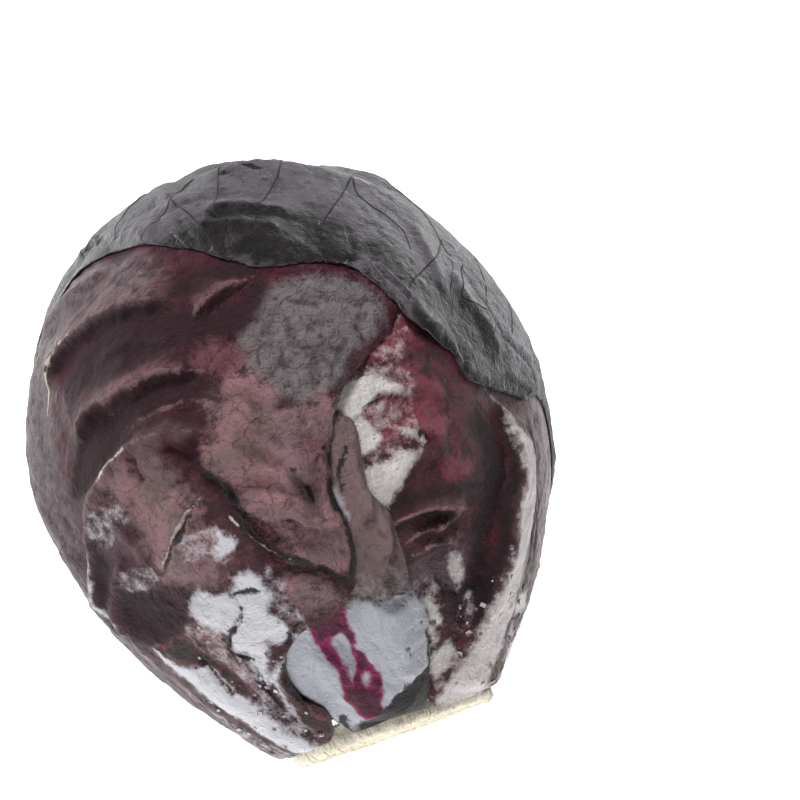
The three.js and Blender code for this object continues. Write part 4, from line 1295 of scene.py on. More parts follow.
def buckled(leaf, where, bent, folds, tears, puffs):
    """The blade's own relief in mm, its crests in mm inside, where a highlight is painted, and its hollows
    from 0 to 1, where shade is painted.
    """
    height = sum(rise * rough(where, *swell) for rise, *swell in SWELLS)
    height = height - sum(rise * np.abs(rough(where, *pucker)) for rise, *pucker in PUCKERS)
    crest, hollow = np.full(len(where), -FAR), np.zeros(len(where))
    for rise, above, below, *places in folds:
        raised, top_line, under = fold(leaf, bent, rise, above, below, *places)
        height = height + raised
        if rise > CREST_FROM:
            crest = np.maximum(crest, top_line)
        if rise > HOLLOW_FROM and min(above, below) < SOFT_FLANK:
            hollow = np.maximum(hollow, under * min(rise / FULL_HOLLOW, 1))
    for rise, reach, *places in tears:
        height = height + torn_edge(leaf, bent, rise, reach, *places)
    if puffs:
        puffy = smooth(marked(leaf, BLADES[leaf.name]["flat"], [(0, *puffs)]), -4, 4)
        domes = sum(rise * puffed(where, size, seed) for rise, size, seed in PUFFS)
        height = height + puffy * (domes - 0.5)
        # Shade is painted between the puffed cells.
        hollow = np.maximum(hollow, puffy * (0.5 - 0.5 * smooth(domes, 0.1, 0.4)))
    return height, crest, hollow


def marks_on(leaf, bent, marks):
    """Millimetres inside each kind of mark. Flecked joins pale, and clear is cut out of stain."""
    marks = {key: [] for key in MARKS} | (marks or {})
    values = {key: marked(leaf, bent, lines) for key, lines in marks.items()}
    values["pale"] = np.maximum(values["pale"], np.minimum(values.pop("flecked"), 0) - FLECKED)
    values["stain"] = np.minimum(values["stain"], 0.9 - values.pop("clear"))
    return values


print("swells of", [size for _, size, _, _ in SWELLS], "mm on every blade")

# %% [markdown]
# ### The two faces of a blade
# The inner face lies on the leaf below and the outer face is one blade's thickness above it,
# plus the relief. A free margin thins and curls up a little. At the stump a blade hugs the cut
# stem, and underneath it stops at the table.

# %% The two faces
EDGE_CURL = 0.9
EDGE_THIN = 0.3
FACE_GAP = 0.6
FOOT_SINK = 1.2


def two_faces(leaf, blade, where, height):
    """How far each point of the outer and of the inner face is from the head's middle."""
    d, edge = blade["d"], blade["edge"]
    clear = 1 - smooth(-d[:, 2], 0.4, 0.8)
    near_edge = 1 - smooth(edge, 0, 7)
    free = near_edge * clear * blade["open"] * (1 - smooth(edge, 0, 5))
    curl = free * (EDGE_CURL * rough(where, 16, 7, 2) - 0.1)
    settled = (GAP - 0.3) * near_edge * clear
    bottom = blade["inner"] - settled + np.clip(curl, 0, None)
    rounding = EDGE_THIN + (1 - EDGE_THIN) * smooth(edge, -0.3, 2.2)
    top = bottom + np.maximum((BLADE + height) * rounding, EDGE_THIN)
    if leaf in (LEFT, RIGHT, FRONT):
        hug = smooth(-d[:, 2], ROOT - 0.07, ROOT - 0.01) * rounding
        top = top + hug * np.maximum(head_radius(d) - FOOT_SINK - top, 0)
    table = (REST_HEIGHT - 0.05) / np.maximum(d @ DOWN, 1e-3)
    return np.minimum(top, table), np.minimum(bottom, table - FACE_GAP)


print("at the stump a leaf stays", FOOT_SINK, "mm under the head's own form")

# %% [markdown]
# ### One blade from start to end
# The last tool puts the others in order: relief, marks and midrib, then the two faces, then the
# closed shell with its numbers. Stalks at the back have no marks, so they go pale by a rule.

# %% Dressing one leaf


def dress(leaf, finish, folds=(), tears=(), marks=None, puffs=None, bloom=0.5):
    """One finished leaf from its folds, tears and marks."""
    blade = BLADES[leaf.name]
    points, d = blade["flat"], blade["d"]
    where = d * blade["inner"][:, None]
    bent = bent_by(points, where)
    own, crest, hollow = buckled(leaf, where, bent, folds, tears, puffs)
    values = marks_on(leaf, bent, marks)
    rib, rib_distance, rib_share = ribbed(leaf, blade)
    if leaf is RIGHT_BACK:
        rib = rib * (1 - 0.7 * smooth(-d[:, 2], 0.55, 0.8))
    if leaf in (RIGHT_BACK, LEFT_BACK, CROWN):
        stalk = 12 * (1 - rib_share) ** 3 + 1 - rib_distance - 60 * smooth(rib_share, 0.25, 0.45)
        values["pale"] = np.maximum(values["pale"], stalk)
    height = (rib + own) * blade["open"] * (0.45 + 0.55 * smooth(-d[:, 2], ROOT, ROOT - 0.03))
    height = height - SLIT_DEPTH * smooth(values["dark"], -0.5, 0.5) * blade["open"]
    top, bottom = two_faces(leaf, blade, where, height)
    blade["outer"] = top
    # Painted shade: hollows under steep folds and between puffs join the deep patches.
    values["deep"] = np.maximum(values["deep"], 7 * hollow - 4)
    values |= {"relief": own * blade["open"], "crest": crest, "bloom": bloom * np.ones(len(d))}
    values["on_leaf"] = np.column_stack([points, np.zeros(len(d))])
    piece = shell(leaf.name, d * top[:, None], d * bottom[:, None], blade["shape"], values, finish)
    faces = len(piece.data.polygons)
    print(f"{leaf.name}: {faces} faces, relief {height.min():.1f} to {height.max():.1f} mm")
    return piece


print("points to dress:", sum(len(blade["d"]) for blade in BLADES.values()))

# %% [markdown]
# ## Dressing the leaves
# Now each leaf gets its own folds, marks and finish. The bloom is thickest on the leaves that
# nobody has handled, on the back and over the crown. The left leaf has it in three broad areas;
# on two of them, the rim and the shelf, it also stands for painted reflection and highlight. The
# crown leaf is left without it in three patches, which are painted shade.

# %% Dress the six leaves


def bloom_on(leaf, low, high, *patches):
    """Bloom from low to high, high inside the patches."""
    points = BLADES[leaf.name]["flat"]
    return low + (high - low) * smooth(marked(leaf, points, patches), -5, 4)


# Bloom on the left leaf: real bloom on the blister, and on the rim and the shelf also painted reflection and
# highlight.
bloom_and_sheen = [(1, BLISTER), (0.5, LEFT_RIM), (0.35, LEFT_SHELF)]
left_bloom = np.max([bloom_on(LEFT, 0, most, (0, *outline)) for most, outline in bloom_and_sheen], axis=0)
# The crown leaf's bloom is taken away in these patches, which paints shade there.
rubbed = [(0, *outline) for outline in CROWN_SHADED]
crown_bloom = bloom_on(CROWN, 0.85, 0.0, *rubbed)
pieces = {
    "right_back_leaf": dress(RIGHT_BACK, RUBBED, bloom=0.1),
    "right_leaf": dress(RIGHT, TORN, RIGHT_FOLDS, RIGHT_TEARS, RIGHT_MARKS, bloom=0.0),
    "front_leaf": dress(FRONT, STALK, FRONT_FOLDS, FRONT_TEARS, FRONT_MARKS, bloom=0.3),
    "left_back_leaf": dress(LEFT_BACK, BLOOMED, bloom=0.7),
    "left_leaf": dress(LEFT, RUBBED, LEFT_FOLDS, LEFT_TEARS, LEFT_MARKS, BLISTER, left_bloom),
    "crown_leaf": dress(CROWN, BLOOMED, CROWN_FOLDS, (), CROWN_MARKS, bloom=crown_bloom),
}

# %% [markdown]
# ## The stump
# The stem is cut square across with a knife. Its side shows cream fibres that stand up where the
# outer stalks were pulled off, and its cut face shows pith, a ring of darker bundles and a thin
# rind. It is turned from one profile, like the solid, and then made uneven all round.

# %% The stump
CORE_TOP = 62.0
BUNDLE_RING = 24.0
STEM_PROFILE = [
    (0.0, 0.0), (8.0, 0.0), (16.0, 0.0), (24.0, 0.0), (28.5, 0.0), (30.4, 0.1), (31.4, 0.9), (31.8, 2.0),
    (31.8, 3.6), (31.5, 4.8), (31.1, 6.2), (30.6, 7.5), (24.0, 7.7), (17.0, 8.0), (13.5, 10.5), (12.0, 14.5),
    (9.0, 57.0), (5.0, CORE_TOP), (0.0, CORE_TOP),
]
STEM_SIDES = 360


def stump():
    profile = curve(np.array(STEM_PROFILE), 150)
    profile[:, 0] = np.clip(profile[:, 0], 0, None)
    profile[0], profile[-1] = (0, 0), (0, CORE_TOP)
    turns = np.linspace(0, 2 * np.pi, STEM_SIDES, endpoint=False)
    r, h = (np.repeat(values[1:-1, None], STEM_SIDES, axis=1) for values in profile.T)
    x, y = r * np.sin(turns), -r * np.cos(turns)
    where = np.stack([x, y, h], axis=-1).reshape(-1, 3)
    on_side = smooth(r, 27, 31) * (1 - smooth(h, 6.5, 8))
    fibres = rough(where * [1, 1, 0.12], 1.6, 4, 3).reshape(r.shape)
    swells = rough(where, 12, 5, 3).reshape(r.shape)
    grown = (0.35 * fibres + 0.7 * swells) * on_side
    cut = (0.35 * swells + 0.12 * np.sin(x * 1.9 + swells)) * (1 - smooth(h, 0, 1.5)) * smooth(r, 0, 4)
    x, y = x * (1 + grown / 32), y * (1 + grown / 32)
    body = np.stack([x, y, h + cut * (h < 1.5)], axis=-1).reshape(-1, 3)
    points = np.vstack([body, [[0, 0, 0], [0, 0, CORE_TOP]]])
    at = np.arange(len(body)).reshape(r.shape)
    ahead = np.roll(at, -1, axis=1)
    faces = quads(np.hstack([at, at[:, :1]])).tolist()
    faces += [[len(body), ahead[0, i], at[0, i]] for i in range(STEM_SIDES)]
    faces += [[len(body) + 1, at[-1, i], ahead[-1, i]] for i in range(STEM_SIDES)]
    mesh = bpy.data.meshes.new("cut_stem")
    mesh.from_pydata(laid_down(points - [0, 0, CUT_DEPTH]).tolist(), [], faces)
    values = {"ring": np.append(r.ravel(), (0, 0)), "above": np.append(h.ravel(), (0, CORE_TOP))}
    values["bundles"] = np.exp(-(((values["ring"] - BUNDLE_RING) / 3.2) ** 2)) * (values["above"] < 0.5)
    values["side"] = np.append(on_side.ravel(), (0, 0))
    stored(mesh, values)
    mesh.shade_smooth()
    print("cut_stem:", len(mesh.polygons), "faces")
    return placed("cut_stem", mesh)


pieces["cut_stem"] = stump()

# %% [markdown]
# ### The stump's finish
# Freshly cut cabbage stem is wet cream flesh that browns at its edges as it dries, so light
# sinks a little way into it. The colour follows the distance from the stem's middle, with fibres
# 1.5 mm apart running along its side.

# %% Stem flesh
FIBRE_MM = 1.5
BROWNING_MM = 9
PORE_MM = 0.9  # drawn coarser than the real pores, so that they show


def stem_flesh():
    finish, tree, mm = new_finish("cabbage_stem_cut_cream")
    ring = add(tree, "ShaderNodeAttribute", attribute_name="ring").outputs["Fac"]
    above = add(tree, "ShaderNodeAttribute", attribute_name="above").outputs["Fac"]
    upright = {"Vector": mm, "Rotation": (math.radians(90 - AXIS_TILT), 0, 0)}
    upright = add(tree, "ShaderNodeMapping", upright).outputs[0]
    drawn = add(tree, "ShaderNodeMapping", {"Vector": upright, "Scale": (1, 1, 0.12)}).outputs[0]
    sizes = {"Vector": drawn, "Scale": 1 / FIBRE_MM, "Detail": 4, "Roughness": 0.6}
    fibre = add(tree, "ShaderNodeTexNoise", sizes).outputs[0]
    sizes = {"Vector": mm, "Scale": 1 / BROWNING_MM, "Detail": 5, "Roughness": 0.6}
    cloud = add(tree, "ShaderNodeTexNoise", sizes).outputs[0]
    pores = add(tree, "ShaderNodeTexVoronoi", {"Vector": mm, "Scale": 1 / PORE_MM}).outputs["Distance"]
    uneven = {0: cloud, 1: 5.0, 2: ring}
    uneven = add(tree, "ShaderNodeMath", uneven, operation="MULTIPLY_ADD").outputs[0]
    share = add(tree, "ShaderNodeMath", {0: uneven, 1: 1 / 40}, operation="MULTIPLY").outputs[0]
    rings = add(tree, "ShaderNodeValToRGB", {"Fac": share})
    ramp = rings.color_ramp
    for position, code in ((0.45, "ede3c4"), (0.6, "d8cb9e"), (0.68, "f0e8cc"), (0.8, "f7f1dc")):
        ramp.elements.new(position).color = paint(code)
    ramp.elements.remove(ramp.elements[-1])
    ramp.elements[0].color = paint("f2ebd2")
    dried = {"Value": fibre, "From Min": 0.58, "From Max": 0.8, "To Max": 0.35}
    dried = add(tree, "ShaderNodeMapRange", dried).outputs["Result"]
    tints = {0: dried, 6: rings.outputs["Color"], 7: paint("bfa98c")}
    streaked = add(tree, "ShaderNodeMix", tints, data_type="RGBA").outputs[2]
    low = {"Value": above, "From Min": 3.0, "From Max": 0.4, "To Max": 0.35}
    browned = add(tree, "ShaderNodeMapRange", low).outputs["Result"]
    patchy = add(tree, "ShaderNodeMath", {0: browned, 1: cloud}, operation="MULTIPLY").outputs[0]
    tints = {0: patchy, 6: streaked, 7: paint("b09080")}
    colour = add(tree, "ShaderNodeMix", tints, data_type="RGBA").outputs[2]
    height = add(tree, "ShaderNodeMath", {0: pores, 1: 0.4, 2: fibre}, operation="MULTIPLY_ADD").outputs[0]
    bump = {"Height": height, "Distance": 0.0005, "Strength": 0.7}
    bump = add(tree, "ShaderNodeBump", bump).outputs[0]
    surface = {"Base Color": colour, "Roughness": 0.55, "IOR": 1.4, "Normal": bump}
    surface |= {"Subsurface Weight": 0.15, "Subsurface Scale": 0.002}
    flesh = add(tree, "ShaderNodeBsdfPrincipled", surface).outputs[0]
    add(tree, "ShaderNodeOutputMaterial", {"Surface": flesh})
    return finish


STEM = stem_flesh()
pieces["cut_stem"].data.materials.append(STEM)
print("finish on the stump:", STEM.name)

# %% [markdown]
# ### The heart
# The heart is the solid itself: it only shows as a dark glint in the gaps between the leaves. It
# keeps its shape and gets the finish of tightly packed inner leaves, wine-red and still moist.
# The small parts further on are of two mottled tones as well, so one recipe serves them all.

# %% Heart finish


def mottled_skin(name, tones, size, detail, spread, gloss, relief):
    """Two tones in spots `size` mm across, its roughness from and to, and its bumps in metres."""
    finish, tree, mm = new_finish(name)
    sizes = {"Vector": mm, "Scale": 1 / size, "Detail": detail}
    mottle = add(tree, "ShaderNodeTexNoise", sizes).outputs["Fac"]
    share = {"Value": mottle, "From Min": spread[0], "From Max": spread[1]}
    share = add(tree, "ShaderNodeMapRange", share).outputs["Result"]
    tints = {0: share, 6: paint(tones[0]), 7: paint(tones[1])}
    colour = add(tree, "ShaderNodeMix", tints, data_type="RGBA").outputs[2]
    dull = {"Value": mottle, "To Min": gloss[0], "To Max": gloss[1]}
    dull = add(tree, "ShaderNodeMapRange", dull).outputs["Result"]
    bump = add(tree, "ShaderNodeBump", {"Height": mottle, "Distance": relief}).outputs["Normal"]
    surface = {"Base Color": colour, "Roughness": dull, "IOR": 1.4, "Normal": bump}
    skin = add(tree, "ShaderNodeBsdfPrincipled", surface).outputs[0]
    add(tree, "ShaderNodeOutputMaterial", {"Surface": skin})
    return finish


# Moist leaves in the dark: wine-red, with a soft shine.
INNER_LEAVES = mottled_skin(
    "red_cabbage_inner_leaves_moist", ("1f0f16", "6a2b42"), MOTTLE_MM, 5, (0, 1), (0.3, 0.5), 0.0006
)
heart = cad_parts["heart"]
heart.data.materials.clear()
heart.data.materials.append(INNER_LEAVES)
print("finish on the heart:", INNER_LEAVES.name)

# %% [markdown]
# ## Veins
# The leaves of a cabbage are full of veins that branch off the midrib and stand a little proud of
# the outer face. They could be drawn in the finish, but then they would catch no light. Here each
# vein is a line on the blade, and Geometry Nodes sweep a round section along it that gets thinner
# towards the margin. Half of it is sunk in the blade, so only a fine ridge shows.

# %% A leaf's outer face
from mathutils import kdtree


class Surface:
    """Finds the point on a leaf's outer face above any point of its flat map."""

    def __init__(self, leaf):
        self.leaf, blade = leaf, BLADES[leaf.name]
        self.outer = blade["outer"]
        self.tree = kdtree.KDTree(len(self.outer))
        for i, (x, y) in enumerate(blade["flat"].tolist()):
            self.tree.insert((x, y, 0), i)
        self.tree.balance()

    def above(self, flat):
        radii = []
        for x, y in flat.tolist():
            near = self.tree.find_n((x, y, 0), 4)
            weights = [1 / (far + 0.05) for _, _, far in near]
            heights = [self.outer[i] for _, i, _ in near]
            radii.append(np.average(heights, weights=weights))
        return self.leaf.round(flat) * np.array(radii)[:, None]


print("points that the crown leaf's veins stand on:", len(BLADES["crown_leaf"]["outer"]))

# %% [markdown]
# ### Lines for the veins
# The veins that show on the crown leaf are named lines. The others follow a rule: pairs of them
# leave the midrib at even steps, lean towards the tip and wander a little.

# %% Lines for the veins
ABOVE_TABLE = 0.0006  # metres, so that no vein dips into the table


def side_veins(leaf, first, last, count, margin_share):
    """Lines on the map from the midrib towards both margins, by a rule: each leans tipwards."""
    blade = BLADES[leaf.name]
    shape, start = blade["shape"], blade["rib_column"]
    grid = blade["flat"].reshape(*shape, 2)
    lines = []
    for step, share in enumerate(np.linspace(first, last, count)):
        for way, columns in ((-1, start), (1, shape[1] - 1 - start)):
            u = np.linspace(0.01, margin_share, 40)
            wander = 0.02 * soft_line(40, 12, 3.1 * step + way)
            v = np.clip(share + 0.2 * u**0.8 + wander + 0.02 * (way > 0), 0, 0.985)
            row, column = np.interp(v, blade["rows_at"], np.arange(shape[0])), start + way * u * columns
            r, c = row.astype(int), np.minimum(column.astype(int), shape[1] - 2)
            down, right = (row - r)[:, None], (column - c)[:, None]
            near = grid[r, c] * (1 - right) + grid[r, c + 1] * right
            far = grid[r + 1, c] * (1 - right) + grid[r + 1, c + 1] * right
            lines.append(near * (1 - down) + far * down)
    return lines


def vein_lines(name, leaf, lines, thick, thin):
    """One mesh of bare lines on the blade, each point with the vein's width there, in mm."""
    surface = Surface(leaf)
    points, edges, widths = [], [], []
    for flat in lines:
        share = np.linspace(0, 1, len(flat))
        first = len(points)
        lying = laid_down(surface.above(flat))
        lying[:, 2] = np.maximum(lying[:, 2], ABOVE_TABLE)
        points += lying.tolist()
        edges += [(first + i, first + i + 1) for i in range(len(flat) - 1)]
        widths += ((thick + (thin - thick) * share) * np.minimum(smooth(share, -0.02, 0.04), 1)).tolist()
    mesh = bpy.data.meshes.new(name)
    mesh.from_pydata(points, edges, [])
    stored(mesh, {"vein_width": widths})
    return placed(name, mesh)


named = [CROWN.line(places, 14 * len(places)) for places in CROWN_VEINS]
crown_lines = named + side_veins(CROWN, 0.06, 0.6, 9, 0.9)
print(len(named), "named veins and", len(crown_lines) - len(named), "by rule on the crown leaf")

# %% [markdown]
# ### Tools for Geometry Nodes
# A tree is made with its named inputs, and a modifier sets them by their identifiers. The mesh
# that comes out is kept as a plain one, and the modifier and its source are removed.

# %% Tools for node trees


def tree_with(name, inputs):
    """A geometry tree with a geometry going in and out, and the named inputs."""
    tree = bpy.data.node_groups.new(name, "GeometryNodeTree")
    tree.interface.new_socket("Geometry", in_out="INPUT", socket_type="NodeSocketGeometry")
    tree.interface.new_socket("Geometry", in_out="OUTPUT", socket_type="NodeSocketGeometry")
    for label, kind in inputs.items():
        tree.interface.new_socket(label, in_out="INPUT", socket_type=kind)
    return tree, add(tree, "NodeGroupInput").outputs


def made_by(tree, source, name, **values):
    """The plain mesh that the tree makes of the source object, which is used up."""
    modifier = source.modifiers.new(tree.name, "NODES")
    modifier.node_group = tree
    sockets = {item.name: item.identifier for item in tree.interface.items_tree if item.in_out == "INPUT"}
    for label, value in values.items():
        modifier[sockets[label.replace("_", " ")]] = value
    depsgraph = bpy.context.evaluated_depsgraph_get()
    mesh = bpy.data.meshes.new_from_object(source.evaluated_get(depsgraph))
    mesh.name = name
    source.modifiers.clear()
    bpy.data.objects.remove(source)
    print(f"{name}: {len(mesh.polygons)} faces from {tree.name}")
    return placed(name, mesh)


# %% [markdown]
# ### Sweeping the veins
# A tree of nodes does the sweeping, so that its width and its steps are plain inputs. It turns
# the lines to curves, walks them in even steps, sweeps a round section whose size follows the
# width on each point, and gives the result its finish.

# %% The vein tree


def vein_tree():
    labels = {"Width scale": "NodeSocketFloat", "Step": "NodeSocketFloat", "Finish": "NodeSocketMaterial"}
    tree, given = tree_with("swept veins", labels)
    curves = add(tree, "GeometryNodeMeshToCurve", {0: given["Geometry"]}).outputs[0]
    even = add(tree, "GeometryNodeResampleCurve", {"Curve": curves, "Length": given["Step"]}, mode="LENGTH")
    width = add(tree, "GeometryNodeInputNamedAttribute", {"Name": "vein_width"}, data_type="FLOAT")
    half = add(tree, "ShaderNodeMath", {0: width.outputs[0], 1: given["Width scale"]}, operation="MULTIPLY")
    section = add(tree, "GeometryNodeCurvePrimitiveCircle", {"Resolution": 6, "Radius": 1.0}).outputs[0]
    sweep = {"Curve": even.outputs[0], "Profile Curve": section, "Scale": half.outputs[0], "Fill Caps": True}
    swept = add(tree, "GeometryNodeCurveToMesh", sweep).outputs[0]
    soft = add(tree, "GeometryNodeSetShadeSmooth", {0: swept}).outputs[0]
    real = add(tree, "GeometryNodeRealizeInstances", {0: soft}).outputs[0]
    done = add(tree, "GeometryNodeSetMaterial", {0: real, "Material": given["Finish"]}).outputs[0]
    add(tree, "NodeGroupOutput", {"Geometry": done})
    return tree


VEIN_TREE = vein_tree()
HALF_MM = 0.0005
STEP_M = 0.0012
# The same skin as on a bloomed blade but darker, because the bloom is thin on a ridge.
VEIN_SKIN = mottled_skin(
    "red_cabbage_vein_with_thin_bloom", ("120e11", "2b2529"), MOTTLE_MM, 4, (0, 1), (0.5, 0.5), 0.0002
)
VEIN_SETS = {
    CROWN: crown_lines,
    RIGHT_BACK: side_veins(RIGHT_BACK, 0.08, 0.74, 8, 0.92),
    LEFT_BACK: side_veins(LEFT_BACK, 0.08, 0.74, 8, 0.92),
}
for leaf, lines in VEIN_SETS.items():
    title = f"{leaf.name}_veins"
    bare = vein_lines(title, leaf, lines, 0.8, 0.3)
    sizes = {"Width_scale": HALF_MM, "Step": STEP_M, "Finish": VEIN_SKIN}
    pieces[title] = made_by(VEIN_TREE, bare, title, **sizes)

# %% [markdown]
# ## What repeats on the surface
# Three small things repeat by the hundred: flakes of skin that have lifted round the bare
# patches, fibres that stand up on the side of the stump, and the ends of the bundles in its cut
# face. One tree scatters all three. It takes a surface with a density on its points, a small
# closed shape, the spacing, the sizes, the direction of the grain, how far copies turn from it,
# and a seed.

# %% The scattering tree


def scatter_tree():
    labels = {
        "Spacing": "NodeSocketFloat", "Shape": "NodeSocketObject", "Smallest": "NodeSocketFloat",
        "Largest": "NodeSocketFloat", "Grain": "NodeSocketVector", "Spin": "NodeSocketFloat",
        "Seed": "NodeSocketInt", "Finish": "NodeSocketMaterial",
    }
    tree, given = tree_with("scattered on a surface", labels)
    density = add(tree, "GeometryNodeInputNamedAttribute", {"Name": "scatter"}, data_type="FLOAT").outputs[0]
    spots = {"Mesh": given["Geometry"], "Distance Min": given["Spacing"], "Density Max": 4e6}
    spots |= {"Density Factor": density, "Seed": given["Seed"]}
    spread = add(tree, "GeometryNodeDistributePointsOnFaces", spots, distribute_method="POISSON")
    upright = add(tree, "FunctionNodeAlignRotationToVector", {"Vector": spread.outputs["Normal"]}, axis="Z")
    along = {"Rotation": upright.outputs[0], "Vector": given["Grain"]}
    along = add(tree, "FunctionNodeAlignRotationToVector", along, axis="X", pivot_axis="Z").outputs[0]
    size = {2: given["Smallest"], 3: given["Largest"], "Seed": given["Seed"]}
    size = add(tree, "FunctionNodeRandomValue", size).outputs[1]
    shape = {"Object": given["Shape"], "As Instance": True}
    shape = add(tree, "GeometryNodeObjectInfo", shape).outputs["Geometry"]
    put = {"Points": spread.outputs["Points"], "Instance": shape, "Rotation": along, "Scale": size}
    laid = add(tree, "GeometryNodeInstanceOnPoints", put).outputs[0]
    turn = add(tree, "FunctionNodeRandomValue", {2: -math.pi, 3: math.pi, "Seed": 7}).outputs[1]
    turn = add(tree, "ShaderNodeMath", {0: turn, 1: given["Spin"]}, operation="MULTIPLY").outputs[0]
    turned = add(tree, "ShaderNodeCombineXYZ", {"Z": turn}).outputs[0]
    spun = add(tree, "GeometryNodeRotateInstances", {"Instances": laid, "Rotation": turned}).outputs[0]
    real = add(tree, "GeometryNodeRealizeInstances", {0: spun}).outputs[0]
    done = add(tree, "GeometryNodeSetMaterial", {0: real, "Material": given["Finish"]}).outputs[0]
    add(tree, "NodeGroupOutput", {"Geometry": done})
    return tree


SCATTER_TREE = scatter_tree()
print("inputs of the scattering tree:", [item.name for item in SCATTER_TREE.interface.items_tree][2:])

# %% [markdown]
# ### Three small shapes
# Each shape is one unit long, lies along X with Z away from the surface, and is closed. The
# flake is a thin curled plate, the fibre a flat spindle and the bundle's end a low dome.

# %% Flake, fibre and bundle end


def small_shape(name, points, faces):
    mesh = bpy.data.meshes.new(name)
    mesh.from_pydata(points, [], faces)
    mesh.shade_smooth()
    return placed(name, mesh)


def curled_flake():
    steps = (-0.5, -0.15, 0.2, 0.5)
    grid = [(x, y) for x in steps for y in steps]
    top = [(x, y * (0.8 - 0.5 * x * x), 0.09 + 0.9 * x * x * (x > 0) + 0.2 * y * y) for x, y in grid]
    low = [(x, y, z - 0.07) for x, y, z in top]
    index = np.arange(16).reshape(4, 4)
    faces = quads(index)[:, [0, 3, 2, 1]]
    ring = [*index[:-1, 0], *index[-1, :-1], *index[:0:-1, -1], *index[0, :0:-1]]
    faces = faces.tolist() + (faces[:, ::-1] + 16).tolist()
    faces += [[int(b), int(a), int(a) + 16, int(b) + 16] for a, b in zip(ring, ring[1:] + ring[:1])]
    return small_shape("curled_flake", top + low, faces)


def spun_shape(name, stations, sides, lift):
    """A closed shape along X from (x, half width, half height) stations and two end points."""
    turns = [2 * math.pi * i / sides for i in range(sides)]
    points = [(x, w * math.cos(t), lift + h * math.sin(t)) for x, w, h in stations for t in turns]
    points += [(-0.5, 0, lift), (0.5, 0, lift)]
    index = np.arange(len(stations) * sides).reshape(-1, sides)
    faces = quads(np.hstack([index, index[:, :1]])).tolist()
    last, start = len(points) - 1, index[-1, 0]
    faces += [[last - 1, (j + 1) % sides, j] for j in range(sides)]
    faces += [[last, start + j, start + (j + 1) % sides] for j in range(sides)]
    return small_shape(name, points, [face[::-1] for face in faces])


SHAPES = {
    "flake": curled_flake(),
    "fibre": spun_shape("fibre", [(-0.3, 0.06, 0.035), (0.1, 0.08, 0.05), (0.35, 0.04, 0.03)], 5, 0.01),
    "bundle": spun_shape("bundle_end", [(-0.35, 0.35, 0.1), (0, 0.5, 0.16), (0.35, 0.35, 0.1)], 7, 0),
}
for name, shape in SHAPES.items():
    print(name, "has", len(shape.data.polygons), "faces")

# %% [markdown]
# ### Scattering
# Flakes sit in a band round the border of each bare patch near the stump, where skin is still
# coming away. The fibres run with the stem and the bundle ends keep to one ring of the cut.

# %% Scatter them


def scattered(title, surface, density, shape, **inputs):
    """Copies of a small shape over a piece, by the density on each of its points."""
    source = placed(f"{title} ground", surface.data.copy())
    stored(source.data, {"scatter": density})
    pieces[title] = made_by(SCATTER_TREE, source, title, Shape=SHAPES[shape], **inputs)


def values_of(piece, key):
    """The number of that name on every point of a piece."""
    data = piece.data.attributes[key].data
    values = np.empty(len(data), np.float32)
    data.foreach_get("value", values)
    return values


# Dry skin with brown edges, as thin as paper: lilac-white and quite matt.
FLAKE_SKIN = mottled_skin(
    "red_cabbage_dry_skin_flake", ("6e5c60", "cfccd4"), 1.5, 3, (0.42, 0.56), (0.6, 0.6), 0.0002
)
HEAD_AXIS = (0.0, math.cos(math.radians(AXIS_TILT)), math.sin(math.radians(AXIS_TILT)))
FLAKE_SIZES = {"Spacing": 0.0024, "Smallest": 0.0006, "Largest": 0.0018, "Grain": HEAD_AXIS, "Spin": 1.0}
for number, name in enumerate(("left_leaf", "right_leaf")):
    ground, d = pieces[name], BLADES[name]["d"]
    near_stump = np.zeros(len(ground.data.vertices))
    near_stump[: len(d)] = smooth(-d[:, 2], 0.5, 0.75)
    border = np.exp(-((values_of(ground, "pale") / 2.0) ** 2)) * near_stump
    inputs = {"Seed": number, "Finish": FLAKE_SKIN} | FLAKE_SIZES
    scattered(f"{name}_flakes", ground, border * 0.2, "flake", **inputs)

stem = pieces["cut_stem"]
sizes = {"Spacing": 0.0011, "Smallest": 0.002, "Largest": 0.004, "Grain": HEAD_AXIS, "Spin": 0.05}
scattered("stem_fibres", stem, values_of(stem, "side") * 0.3, "fibre", Seed=11, Finish=STEM, **sizes)
sizes = {"Spacing": 0.0021, "Smallest": 0.0009, "Largest": 0.0017, "Grain": (1.0, 0.0, 0.0), "Spin": 1.0}
scattered("stem_bundles", stem, values_of(stem, "bundles"), "bundle", Seed=12, Finish=STEM, **sizes)
for shape in SHAPES.values():
    bpy.data.objects.remove(shape)

# %% [markdown]
# ## Tying the pieces to the model
# Every piece rides on the one body of the model, and the solid that it dresses is hidden.

# %% Ride, and hide the solids
for name, piece in pieces.items():
    node = name.split("_leaf")[0] + "_leaf" if "_leaf" in name else "cut_stem"
    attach(piece, "root")
    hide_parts(node)
triangles = sum(len(face.vertices) - 2 for piece in pieces.values() for face in piece.data.polygons)
print(len(pieces), "pieces,", triangles, "triangles")

# %% [markdown]
# ## View and table
# The camera and the lamps are placed by three directions: towards the camera, to its right and
# upwards in its picture. The head lies on a plain pale table, which shines softly itself and so
# lights the head from all round.

# %% View and table
HEAD_MIDDLE = Vector((0.0, 0.0, REST_HEIGHT / 1000))
TABLE_HALF = 6.0
TABLE_GLOW = 1.1
AZIMUTH = math.radians(-20.9)
ELEVATION = math.radians(60)
LEVEL = Vector((math.sin(AZIMUTH), -math.cos(AZIMUTH), 0.0))
UP = Vector((0.0, 0.0, 1.0))
toward_camera = LEVEL * math.cos(ELEVATION) + UP * math.sin(ELEVATION)
rightwards = Vector((math.cos(AZIMUTH), math.sin(AZIMUTH), 0.0))
upwards = toward_camera.cross(rightwards)


